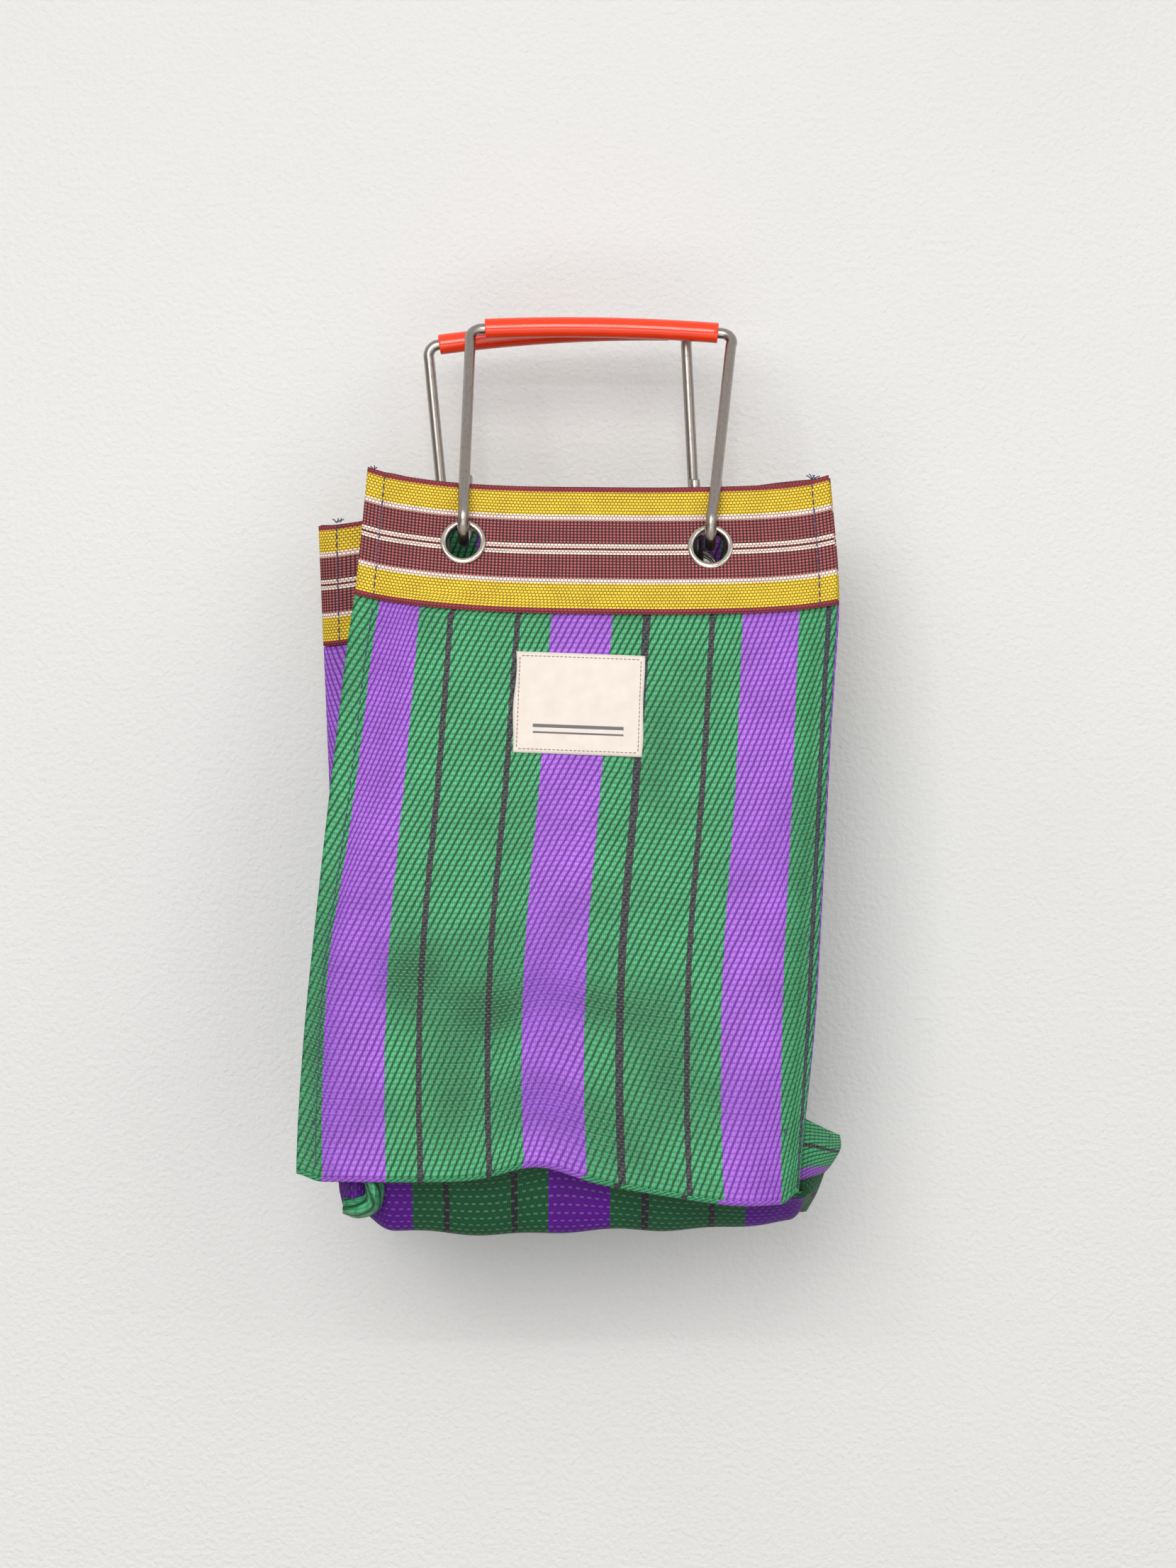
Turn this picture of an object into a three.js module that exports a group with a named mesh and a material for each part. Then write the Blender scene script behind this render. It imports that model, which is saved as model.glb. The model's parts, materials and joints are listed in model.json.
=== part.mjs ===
// Small striped market bag, half collapsed, hanging by its two wire bail handles.
// Millimetres. +Z is up, the front wall faces -Y. The origin is the hanging point:
// it lies under both hand grips, where a hook, peg or screw carries them.
import * as THREE from 'three';

// ---- bag -----------------------------------------------------------------------------------
const BAG_WIDTH = 200;            // side to side, along a wall's bottom edge
const BAG_HEIGHT = 288;           // mouth edge to bottom edge, straight down
const FRONT_MOUTH_WIDTH = 189;    // the hanging weight gathers the front mouth edge
const BOTTOM_GAP = 92;            // front bottom edge to back bottom edge
const BOTTOM_SAG = 14;            // how far the loose bottom hangs below its two edges
const CLOTH = 0.9;                // woven cloth
const WEBBING = 1.6;              // mouth band
const BAND_HEIGHT = 53;           // mouth band, top edge to bottom edge
const SEAM_INSET = 8;             // pinch seam, in from each upright edge
const THREAD_R = 0.4;             // sewing thread
const HEM_R = 1.5;                // rolled hem along the bottom edges
const GUSSET_FOLD = 38;           // how deep a gusset folds in at the mouth

// ---- handles -------------------------------------------------------------------------------
const WIRE_R = 2.3;               // bare steel wire
const GRIP_R = 4.3;               // soft tube pushed over the wire
const GRIP_LENGTH = 99;
const GRIP_BOW = 1.9;             // the grip bows up in the middle
const HANDLE_HEIGHT = 99.4;       // wire in the eyelet up to the ends of the grip line
const HANDLE_WIDTH = 111;         // leg to leg at the grip
const CORNER_R = 5;               // bend between a leg and the grip
const HOOK_SPACE = 13.4;          // clear space between the two legs of the hook
const HOOK_R = 7;                 // bend at the foot of the hook
const HOOK_LENGTH = 36;           // inner leg of the hook

// ---- eyelets -------------------------------------------------------------------------------
const EYELET_R = 9.45;            // outside of the rolled rim
const EYELET_BORE = 6.5;          // radius of the clear hole
const EYELET_WALL = 0.7;          // tube through the band
const EYELET_DROP = 24.6;         // band top edge down to the eyelet centre

// ---- label ---------------------------------------------------------------------------------
const LABEL_WIDTH = 52.5;
const LABEL_HEIGHT = 41.2;
const LABEL_THICK = 0.5;
const LABEL_BELOW_BAND = 38;      // band bottom edge down to the label's middle
const LABEL_SHIFT = -4;           // sideways from the line between the handle's feet
const LABEL_TURN = -2.2;          // degrees
const LABEL_STITCH_INSET = 1.6;
const LABEL_STITCH_WIDTH = 0.6;

// ---- clearances ----------------------------------------------------------------------------
const LAY = 0.3;                  // between layers that lie on each other
const SEAM_GAP = 0.6;             // between cloth edges that meet at a fold
const GRIP_GAP = 0.3;             // wire to grip bore
const EYELET_GAP = 0.3;           // eyelet tube to band hole
const WIRE_GAP = 1.1;             // wire to eyelet bore, above the wire

const WIRE_RIDE = EYELET_BORE - WIRE_R - WIRE_GAP;    // wire centre above the eyelet centre
const HOOK_GAP = HOOK_SPACE + 2 * WIRE_R;             // between the legs, centre to centre

// ---- colours -------------------------------------------------------------------------------
const GREEN = 0x4f9a6e;
const PURPLE = 0x9d5fc4;
const YELLOW = 0xe0bf42;
const MAROON = 0x8c2a33;
const STEEL = 0x9c948c;
const NICKEL = 0xd8d4cc;
const CORAL = 0xee5330;
const COTTON = 0xf5ecdf;
const NAVY = 0x23264a;

const RAD = Math.PI / 180;
const V = (x, y, z) => new THREE.Vector3(x, y, z);
const lerp = THREE.MathUtils.lerp;

// ---- small solid builders ------------------------------------------------------------------

// Curve through given stations, stepped station by station when something is extruded along it.
class StationCurve extends THREE.Curve {
  constructor(stations) {
    super();
    this.stations = stations;
  }

  getPoint(t, target = V(0, 0, 0)) {
    const f = THREE.MathUtils.clamp(t, 0, 1) * (this.stations.length - 1);
    const i = Math.min(Math.floor(f), this.stations.length - 2);
    return target.lerpVectors(this.stations[i], this.stations[i + 1], f - i);
  }

  getUtoTmapping(u) {
    return u;
  }
}

// Corners of a round outline.
function roundLoop(centre, radius, sides) {
  const loop = [];
  for (let i = 0; i < sides; i += 1) {
    const a = (2 * Math.PI * i) / sides;
    loop.push(new THREE.Vector2(centre[0] + radius * Math.cos(a), centre[1] + radius * Math.sin(a)));
  }
  return loop;
}

// Round bar, or tube with a bore, along a row of stations.
function bar(stations, radius, sides, bore = 0) {
  const shape = new THREE.Shape(roundLoop([0, 0], radius, sides));
  if (bore) {
    shape.holes.push(new THREE.Path(roundLoop([0, 0], bore, sides).reverse()));
  }
  return new THREE.ExtrudeGeometry(shape, {
    steps: stations.length - 1,
    bevelEnabled: false,
    extrudePath: new StationCurve(stations),
  });
}

// Flat plate in a plane's own coordinates, thickened from c0 to c1 along the plane's normal.
function plate(plane, outline, holes, c0, c1) {
  const corners = outline.map(([x, s]) => new THREE.Vector2(x, s));
  if (THREE.ShapeUtils.isClockWise(corners)) {
    corners.reverse();
  }
  const shape = new THREE.Shape(corners);
  for (const [centre, radius] of holes) {
    shape.holes.push(new THREE.Path(roundLoop(centre, radius, 32).reverse()));
  }
  const geometry = new THREE.ExtrudeGeometry(shape, { depth: c1 - c0, bevelEnabled: false });
  geometry.translate(0, 0, c0);
  return geometry.applyMatrix4(plane.matrix);
}

// Ring about a plane's normal; the profile is a closed loop of [radius, c], running upwards outside.
function ring(plane, centre, profile, steps) {
  const loop = [...profile, profile[0]].map(([r, c]) => new THREE.Vector2(r, c));
  const geometry = new THREE.LatheGeometry(loop, steps);
  geometry.rotateX(Math.PI / 2);
  geometry.translate(centre[0], centre[1], 0);
  return geometry.applyMatrix4(plane.matrix);
}

// Two triangles for each cell of a grid of points.
function gridFaces(rows, cols) {
  const triangles = [];
  for (let i = 0; i < rows; i += 1) {
    for (let j = 0; j < cols; j += 1) {
      const a = i * (cols + 1) + j;
      const c = a + cols + 1;
      triangles.push([a, a + 1, c + 1]);
      triangles.push([a, c + 1, c]);
    }
  }
  return triangles;
}

// Point numbers round the edge of a grid.
function gridRim(rows, cols) {
  const at = (i, j) => i * (cols + 1) + j;
  const rim = [];
  for (let j = 0; j < cols; j += 1) {
    rim.push(at(0, j));
  }
  for (let i = 0; i < rows; i += 1) {
    rim.push(at(i, cols));
  }
  for (let j = cols; j > 0; j -= 1) {
    rim.push(at(rows, j));
  }
  for (let i = rows; i > 0; i -= 1) {
    rim.push(at(i, 0));
  }
  return rim;
}

// Closed geometry from points and triangles, turned so that its faces point outwards.
function closed(points, triangles) {
  let volume = 0;
  for (const [a, b, c] of triangles) {
    volume += points[a].dot(points[b].clone().cross(points[c]));
  }
  const geometry = new THREE.BufferGeometry();
  geometry.setFromPoints(points);
  geometry.setIndex(triangles.flatMap(([a, b, c]) => (volume > 0 ? [a, b, c] : [a, c, b])));
  geometry.computeVertexNormals();
  return geometry;
}

// Cloth: a surface point function thickened evenly to both sides.
function slab(surface, rows, cols, thickness) {
  const grid = [];
  for (let i = 0; i <= rows; i += 1) {
    grid.push([]);
    for (let j = 0; j <= cols; j += 1) {
      grid[i].push(surface(i / rows, j / cols));
    }
  }
  const front = [];
  const back = [];
  for (let i = 0; i <= rows; i += 1) {
    for (let j = 0; j <= cols; j += 1) {
      const down = grid[Math.min(i + 1, rows)][j].clone().sub(grid[Math.max(i - 1, 0)][j]);
      const along = grid[i][Math.min(j + 1, cols)].clone().sub(grid[i][Math.max(j - 1, 0)]);
      const n = down.cross(along).normalize();
      front.push(grid[i][j].clone().addScaledVector(n, thickness / 2));
      back.push(grid[i][j].clone().addScaledVector(n, -thickness / 2));
    }
  }
  const half = front.length;
  const top = gridFaces(rows, cols);
  const triangles = top.concat(top.map(([a, b, c]) => [a + half, c + half, b + half]));
  const rim = gridRim(rows, cols);
  rim.forEach((a, k) => {
    const b = rim[(k + 1) % rim.length];
    triangles.push([b, a, a + half]);
    triangles.push([b, a + half, b + half]);
  });
  return closed(front.concat(back), triangles);
}

// ---- handles as frames ---------------------------------------------------------------------

// Where a handle is carried and how it leans. The hook's foot, in the eyelet, is the pivot.
// a runs across from the middle, b up from the pivot and c outwards from the bag.
function makeHandle(spec) {
  const lean = spec.lean * RAD;
  const tilt = spec.tilt * RAD;
  const up = V(
    Math.sin(lean),
    Math.cos(lean) * Math.sin(tilt),
    Math.cos(lean) * Math.cos(tilt),
  );
  const out = V(0, -spec.side * Math.cos(tilt), spec.side * Math.sin(tilt));
  const pivot = spec.grip.clone()
    .addScaledVector(up, -(HANDLE_HEIGHT + GRIP_BOW))
    .addScaledVector(out, -HOOK_GAP / 2);
  const at = (a, b, c) => {
    const slope = lerp(spec.footSlope, spec.gripSlope, b / HANDLE_HEIGHT) * RAD;
    const p = pivot.clone().addScaledVector(up, b).addScaledVector(out, c);
    return p.add(V(a * Math.cos(slope), 0, a * Math.sin(slope)));
  };
  return { ...spec, up, out, pivot, at };
}

const FRONT_HANDLE = makeHandle({
  side: 1,
  grip: V(13.9, -8, 4.2),
  lean: 3.15,
  tilt: 28.6,
  footSlope: -1.1,
  gripSlope: -1.04,
  footWidth: 103,
});
const BACK_HANDLE = makeHandle({
  side: -1,
  grip: V(-5.6, 6, 4),
  lean: -4.6,
  tilt: -4.5,
  footSlope: 1.6,
  gripSlope: 3.4,
  footWidth: 108.8,
});

// ---- planes of the walls -------------------------------------------------------------------

// Tilted plane with its own coordinates: x across, s up the slope, c outwards.
function makePlane(side, tilt, y, z) {
  const up = V(0, Math.sin(tilt), Math.cos(tilt));
  const out = V(0, -side * Math.cos(tilt), side * Math.sin(tilt));
  const across = V(side, 0, 0);
  const matrix = new THREE.Matrix4().makeBasis(across, up, out).setPosition(0, y, z);
  const at = (x, s, c) => V(side * x, s, c).applyMatrix4(matrix);
  return { side, tilt, y, z, matrix, at, slope: (height) => (height - z) / Math.cos(tilt) };
}

// Outline of a whole wall: u runs left to right, v from mouth edge (0) to bottom edge (1).
function wallShape(spec) {
  return (u, v) => {
    const width = lerp(spec.topWidth, BAG_WIDTH - spec.bottomLoss, v);
    const x = lerp(spec.topMid[0], spec.topMid[0] + spec.shift, v) + (u - 0.5) * width;
    const drop = lerp(spec.topDrop, spec.bottomDrop, v) * (0.5 - u);
    const sag = spec.topSag * (1 - (2 * u - 1) ** 4) * (1 - v) ** 2;
    const bump = spec.hemBump * Math.exp(-(((u - 0.47) / 0.12) ** 2)) * v ** 6;
    return [x, spec.topMid[1] - BAG_HEIGHT * v + drop - sag + bump];
  };
}

// The band lies in one plane with the eyelets, the cloth below it in another.
function makeWall(handle, spec) {
  const pivot = handle.pivot;
  const bandTilt = spec.bandTilt * RAD;
  const topMid = [pivot.x + spec.dx, pivot.z + (EYELET_DROP - WIRE_RIDE) * Math.cos(bandTilt)];
  const topSag = spec.topSag;
  const shape = wallShape({ ...spec, topMid: [topMid[0], topMid[1] + topSag * 0.92] });
  const bandPlane = makePlane(spec.side, bandTilt, pivot.y, pivot.z);
  const bandShare = (BAND_HEIGHT * Math.cos(bandTilt)) / BAG_HEIGHT;
  const foot = bandPlane.at(0, bandPlane.slope(topMid[1] - BAND_HEIGHT * Math.cos(bandTilt)), LINING_MID);
  const panelTilt = spec.side > 0 ? Math.atan((foot.y - spec.bottomY) / (BAG_HEIGHT - BAND_HEIGHT)) : 0;
  const panelPlane = makePlane(spec.side, panelTilt, foot.y, foot.z);
  return { ...spec, handle, shape, bandPlane, panelPlane, bandShare };
}

const LINING_OUT = -(WEBBING / 2 + LAY);
const LINING_IN = LINING_OUT - CLOTH;
const LINING_MID = (LINING_OUT + LINING_IN) / 2;

const BACK = makeWall(BACK_HANDLE, {
  side: -1,
  bandTilt: 0,
  dx: -9.2,
  topWidth: BAG_WIDTH,
  bottomLoss: 4,
  shift: 9.7,
  topDrop: -5.6,
  bottomDrop: -6,
  topSag: 0,
  hemBump: 0,
});
const FRONT = makeWall(FRONT_HANDLE, {
  side: 1,
  bandTilt: 14.4,
  bottomY: BACK_HANDLE.pivot.y - BOTTOM_GAP,
  dx: 3.7,
  topWidth: FRONT_MOUTH_WIDTH,
  bottomLoss: 0,
  shift: -19.5,
  topDrop: 3.5,
  bottomDrop: 8.8,
  topSag: 7.6,
  hemBump: 8,
});

// ---- cloth and webbing ---------------------------------------------------------------------

// Outline of a wall between two heights, in the coordinates of one of its planes.
// A straight edge takes one step, so that no corner lies on a straight line.
function wallOutline(wall, plane, vTop, vBottom) {
  const steps = wall.topSag === 0 && wall.hemBump === 0 ? 1 : 26;
  const outline = [];
  const put = (u, v) => {
    const [x, z] = wall.shape(u, v);
    outline.push([plane.side * x, plane.slope(z)]);
  };
  for (let i = 0; i <= steps; i += 1) {
    put(i / steps, vTop);
  }
  for (let i = steps; i >= 0; i -= 1) {
    put(i / steps, vBottom);
  }
  return outline;
}

// Eyelet centre in the band's plane: the hook's foot hangs in it.
function eyeletCentre(wall, sign) {
  const foot = wall.handle.at((sign * wall.handle.footWidth) / 2, 0, 0);
  return [wall.side * foot.x, wall.bandPlane.slope(foot.z) - WIRE_RIDE];
}

const HOLE_R = EYELET_BORE + EYELET_WALL + EYELET_GAP;

function eyeletHoles(wall) {
  return [-1, 1].map((sign) => [eyeletCentre(wall, sign), HOLE_R]);
}

function band(wall) {
  const outline = wallOutline(wall, wall.bandPlane, 0, wall.bandShare);
  return plate(wall.bandPlane, outline, eyeletHoles(wall), -WEBBING / 2, WEBBING / 2);
}

function lining(wall) {
  const outline = wallOutline(wall, wall.bandPlane, 0.008, wall.bandShare - 0.006);
  return plate(wall.bandPlane, outline, eyeletHoles(wall), LINING_IN, LINING_OUT);
}

function panel(wall) {
  const top = wall.bandShare + (SEAM_GAP + CLOTH) / BAG_HEIGHT;
  const outline = wallOutline(wall, wall.panelPlane, top, 1);
  return plate(wall.panelPlane, outline, [], -CLOTH / 2, CLOTH / 2);
}

function eyelet(wall, sign) {
  const face = WEBBING / 2 + LAY;
  const end = LINING_IN - LAY - 0.8;
  const tubeOut = EYELET_BORE + EYELET_WALL;
  const profile = [
    [EYELET_BORE, end],
    [tubeOut, end],
    [tubeOut, face],
    [EYELET_R, face],
    [EYELET_R, face + 0.5],
    [EYELET_R - 0.9, face + 1.2],
    [EYELET_BORE + 0.9, face + 1.2],
    [EYELET_BORE, face + 0.4],
  ];
  return ring(wall.bandPlane, eyeletCentre(wall, sign), profile, 36);
}

function washer(wall, sign) {
  const face = LINING_IN - LAY;
  const profile = [
    [HOLE_R, face - 0.6],
    [EYELET_R - 0.3, face - 0.6],
    [EYELET_R - 0.3, face],
    [HOLE_R, face],
  ];
  return ring(wall.bandPlane, eyeletCentre(wall, sign), profile, 36);
}

// Point on the inside of a wall's side edge, where a gusset starts.
function edgeInside(wall, u, v) {
  const [x, z] = wall.shape(u, v);
  if (v < wall.bandShare) {
    const inside = LINING_IN - SEAM_GAP - WEBBING / 2;
    return wall.bandPlane.at(x, wall.bandPlane.slope(z), inside);
  }
  const inside = -CLOTH - SEAM_GAP;
  return wall.panelPlane.at(x, wall.panelPlane.slope(z), inside);
}

// A gusset hangs between the side edges of the two walls and folds about a soft crease.
// fold lists [v, depth]: how far the crease lies in from the line between the two edges.
function gussetSurface(u, fold) {
  const inward = u < 0.5 ? 1 : -1;
  const depthAt = (v) => {
    let k = 0;
    while (k < fold.length - 2 && v > fold[k + 1][0]) {
      k += 1;
    }
    const t = (v - fold[k][0]) / (fold[k + 1][0] - fold[k][0]);
    return lerp(fold[k][1], fold[k + 1][1], t * t * (3 - 2 * t));
  };
  return (v, t) => {
    const a = edgeInside(FRONT, u, v);
    const b = edgeInside(BACK, u, v);
    const p = a.clone().lerp(b, t);
    p.x += inward * depthAt(v) * 4 * t * (1 - t);
    return p;
  };
}

const LEFT_FOLD = [[0, GUSSET_FOLD], [0.5, 26], [1, 7]];
const RIGHT_FOLD = [[0, GUSSET_FOLD], [0.55, 20], [0.8, 5], [0.93, -12], [1, -6]];

function gussetCloth(surface) {
  const top = Math.max(FRONT.bandShare, BACK.bandShare) + (SEAM_GAP + CLOTH) / BAG_HEIGHT;
  return slab((i, t) => surface(lerp(top, 0.985, i), t), 18, 12, CLOTH);
}

function gussetBand(surface) {
  const bottom = Math.min(FRONT.bandShare, BACK.bandShare) - 0.004;
  return slab((i, t) => surface(lerp(0.004, bottom, i), t), 5, 14, WEBBING);
}

// The bottom hangs loosely between the two bottom edges.
function bottomPanel() {
  const inside = -CLOTH / 2 - HEM_R - SEAM_GAP;
  const edge = (wall, u) => {
    const [x, z] = wall.shape(u, 1);
    return wall.panelPlane.at(x, wall.panelPlane.slope(z) - HEM_R, inside);
  };
  const surface = (i, t) => {
    const u = lerp(0.012, 0.988, i);
    const p = edge(FRONT, u).lerp(edge(BACK, u), t);
    p.z -= BOTTOM_SAG * Math.sin(Math.PI * t ** 0.85);
    return p;
  };
  return slab(surface, 20, 12, CLOTH);
}

// Rolled hem just under a wall's bottom edge.
function hem(wall) {
  const path = [];
  for (let i = 0; i <= 26; i += 1) {
    const [x, z] = wall.shape(i / 26, 1);
    const s = wall.panelPlane.slope(z) - HEM_R - LAY;
    path.push(wall.panelPlane.at(x, s, 0));
  }
  return bar(path, HEM_R, 10);
}

// Pinch seam thread: one along the band's edge and one along the cloth below it.
function pinchThread(wall, plane, sign, v0, v1, c) {
  const path = [];
  for (let i = 0; i <= 4; i += 1) {
    const v = lerp(v0, v1, i / 4);
    const left = wall.shape(0, v)[0];
    const right = wall.shape(1, v)[0];
    const u = 0.5 + sign * (0.5 - SEAM_INSET / (right - left));
    const [x, z] = wall.shape(u, v);
    path.push(plane.at(x, plane.slope(z), c));
  }
  return bar(path, THREAD_R, 6);
}

function bandThread(wall, sign) {
  const c = WEBBING / 2 + LAY + THREAD_R;
  return pinchThread(wall, wall.bandPlane, sign, 0.006, wall.bandShare - 0.006, c);
}

function panelThread(wall, sign) {
  const c = CLOTH / 2 + LAY + THREAD_R;
  return pinchThread(wall, wall.panelPlane, sign, wall.bandShare + 0.016, 0.985, c);
}

// ---- label ---------------------------------------------------------------------------------

function labelLoop(grow) {
  const turn = LABEL_TURN * RAD;
  const plane = FRONT.panelPlane;
  const middle = [FRONT.handle.pivot.x + LABEL_SHIFT, -LABEL_BELOW_BAND];
  const w = LABEL_WIDTH / 2 + grow;
  const h = LABEL_HEIGHT / 2 + grow;
  return [[-w, -h], [w, -h], [w, h], [-w, h]].map(([a, b]) => [
    plane.side * middle[0] + a * Math.cos(turn) - b * Math.sin(turn),
    middle[1] + a * Math.sin(turn) + b * Math.cos(turn),
  ]);
}

function label() {
  const back = CLOTH / 2 + LAY;
  return plate(FRONT.panelPlane, labelLoop(0), [], back, back + LABEL_THICK);
}

function labelStitch() {
  const back = CLOTH / 2 + LAY + LABEL_THICK + LAY;
  const ringOut = labelLoop(-LABEL_STITCH_INSET).map(([x, s]) => new THREE.Vector2(x, s));
  const ringIn = labelLoop(-LABEL_STITCH_INSET - LABEL_STITCH_WIDTH);
  const shape = new THREE.Shape(ringOut);
  shape.holes.push(new THREE.Path(ringIn.reverse().map(([x, s]) => new THREE.Vector2(x, s))));
  const geometry = new THREE.ExtrudeGeometry(shape, { depth: 0.3, bevelEnabled: false });
  geometry.translate(0, 0, back);
  return geometry.applyMatrix4(FRONT.panelPlane.matrix);
}

// ---- handles as solids ---------------------------------------------------------------------

// Quarter bend about a centre, from one direction towards another, in handle coordinates.
function bend(centre, from, to, radius, steps) {
  const points = [];
  for (let i = 0; i <= steps; i += 1) {
    const a = ((Math.PI / 2) * i) / steps;
    points.push(centre.map((v, k) => v + radius * (from[k] * Math.cos(a) + to[k] * Math.sin(a))));
  }
  return points;
}

// Half of the handle, from the free end of the hook to the corner beside the grip.
function halfHandle(foot) {
  const g = HOOK_GAP / 2;
  const top = HANDLE_WIDTH / 2;
  const lean = (b) => lerp(foot, top, b / HANDLE_HEIGHT);
  const path = [HOOK_LENGTH, HOOK_LENGTH / 2].map((b) => [lean(b), b, -g]);
  path.push(...bend([foot, HOOK_R, HOOK_R - g], [0, 0, -1], [0, -1, 0], HOOK_R, 5));
  path.push(...bend([foot, HOOK_R, g - HOOK_R], [0, -1, 0], [0, 0, 1], HOOK_R, 5));
  for (const b of [HOOK_R + 8, 36, 58, 78, HANDLE_HEIGHT - CORNER_R - 2]) {
    path.push([lean(b), b, g]);
  }
  const corner = [top - CORNER_R, HANDLE_HEIGHT - CORNER_R, g];
  path.push(...bend(corner, [1, 0, 0], [0, 1, 0], CORNER_R, 5));
  return path;
}

// Point on the bowed grip line.
function gripLine(handle, a) {
  const reach = HANDLE_WIDTH / 2 - CORNER_R;
  return handle.at(a, HANDLE_HEIGHT + GRIP_BOW * (1 - (a / reach) ** 2), HOOK_GAP / 2);
}

function handleWire(handle) {
  const half = halfHandle(handle.footWidth / 2);
  const left = half.map(([a, b, c]) => handle.at(-a, b, c));
  const right = half.map(([a, b, c]) => handle.at(a, b, c)).reverse();
  const reach = HANDLE_WIDTH / 2 - CORNER_R;
  const middle = [-0.8, -0.6, -0.4, -0.2, 0, 0.2, 0.4, 0.6, 0.8].map((t) => gripLine(handle, t * reach));
  return bar([...left, ...middle, ...right], WIRE_R, 12);
}

function grip(handle) {
  const stations = [-1, -0.8, -0.6, -0.4, -0.2, 0, 0.2, 0.4, 0.6, 0.8, 1];
  const path = stations.map((t) => gripLine(handle, (t * GRIP_LENGTH) / 2));
  return bar(path, GRIP_R, 24, WIRE_R + GRIP_GAP);
}

// ---- assembly ------------------------------------------------------------------------------

const object = new THREE.Group();
object.name = 'market_bag';

function add(name, geometry, color, metalness = 0, roughness = 0.6) {
  const material = new THREE.MeshStandardMaterial({ color, metalness, roughness });
  material.name = name;
  const mesh = new THREE.Mesh(geometry, material);
  mesh.name = name;
  object.add(mesh);
}

function addSide(name, wall) {
  add(`${name}_panel`, panel(wall), GREEN);
  add(`${name}_band`, band(wall), YELLOW);
  add(`${name}_lining`, lining(wall), GREEN);
  add(`${name}_hem`, hem(wall), PURPLE);
  add(`${name}_handle_wire`, handleWire(wall.handle), STEEL, 0.9, 0.35);
  add(`${name}_grip`, grip(wall.handle), CORAL, 0, 0.35);
  for (const [hand, sign] of [['left', -1], ['right', 1]]) {
    add(`${name}_${hand}_eyelet`, eyelet(wall, sign), NICKEL, 0.95, 0.2);
    add(`${name}_${hand}_washer`, washer(wall, sign), NICKEL, 0.95, 0.3);
    add(`${name}_${hand}_band_thread`, bandThread(wall, sign), NAVY);
    add(`${name}_${hand}_panel_thread`, panelThread(wall, sign), NAVY);
  }
}

addSide('front', FRONT);
addSide('back', BACK);

const LEFT_GUSSET = gussetSurface(0.006, LEFT_FOLD);
const RIGHT_GUSSET = gussetSurface(0.994, RIGHT_FOLD);
add('left_gusset', gussetCloth(LEFT_GUSSET), PURPLE);
add('right_gusset', gussetCloth(RIGHT_GUSSET), PURPLE);
add('left_gusset_band', gussetBand(LEFT_GUSSET), MAROON);
add('right_gusset_band', gussetBand(RIGHT_GUSSET), MAROON);
add('bottom_panel', bottomPanel(), GREEN);
add('label', label(), COTTON);
add('label_stitch', labelStitch(), MAROON);

export default object;
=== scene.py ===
"""Striped market bag with wire handles: the looks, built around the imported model."""
import json
import math
from functools import partial

import bmesh
import bpy
import numpy as np
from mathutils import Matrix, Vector


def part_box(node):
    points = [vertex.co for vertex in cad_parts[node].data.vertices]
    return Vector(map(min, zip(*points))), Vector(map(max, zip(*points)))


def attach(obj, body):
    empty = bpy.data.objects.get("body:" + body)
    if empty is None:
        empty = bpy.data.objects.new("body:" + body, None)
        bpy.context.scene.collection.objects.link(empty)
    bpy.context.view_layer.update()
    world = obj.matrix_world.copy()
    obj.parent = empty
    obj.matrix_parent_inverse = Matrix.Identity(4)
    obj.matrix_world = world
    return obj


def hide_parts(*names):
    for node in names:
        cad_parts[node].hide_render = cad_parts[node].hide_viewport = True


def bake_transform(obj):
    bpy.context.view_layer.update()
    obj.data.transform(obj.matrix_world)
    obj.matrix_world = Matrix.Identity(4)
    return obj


bl_info = {
    "name": "Striped market bag",
    "version": (1, 0, 0),
    "blender": (4, 5, 0),
    "location": "3D View > Sidebar > Market bag",
    "description": "Builds a striped market bag with wire handles around its packed model",
    "category": "Add Mesh",
}

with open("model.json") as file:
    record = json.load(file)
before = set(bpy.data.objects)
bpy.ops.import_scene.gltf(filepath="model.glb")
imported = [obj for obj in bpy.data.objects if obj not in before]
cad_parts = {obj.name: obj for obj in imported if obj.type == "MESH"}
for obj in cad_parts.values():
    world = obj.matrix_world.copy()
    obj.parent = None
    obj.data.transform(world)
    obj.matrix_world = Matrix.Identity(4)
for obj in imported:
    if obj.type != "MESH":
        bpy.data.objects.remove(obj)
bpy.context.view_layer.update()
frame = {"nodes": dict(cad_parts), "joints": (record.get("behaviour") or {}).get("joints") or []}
JOINTS = {joint["name"]: joint for joint in frame["joints"]}
MM = 0.001


# ---- sizes and colours that a user would change --------------------------------------------

def length(name, description, millimetres):
    return bpy.props.FloatProperty(
        name=name, description=description, default=millimetres * MM, min=0.0, unit="LENGTH"
    )


def linear(hex_value):
    """sRGB hex colour to Blender's linear colour."""
    parts = [int(hex_value.lstrip("#")[i:i + 2], 16) / 255 for i in (0, 2, 4)]
    curve = (c / 12.92 if c <= 0.04045 else ((c + 0.055) / 1.055) ** 2.4 for c in parts)
    return (*curve, 1.0)


def colour(name, description, hex_value):
    return bpy.props.FloatVectorProperty(
        name=name, description=description, default=linear(hex_value), size=4, min=0.0, max=1.0,
        subtype="COLOR"
    )


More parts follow.
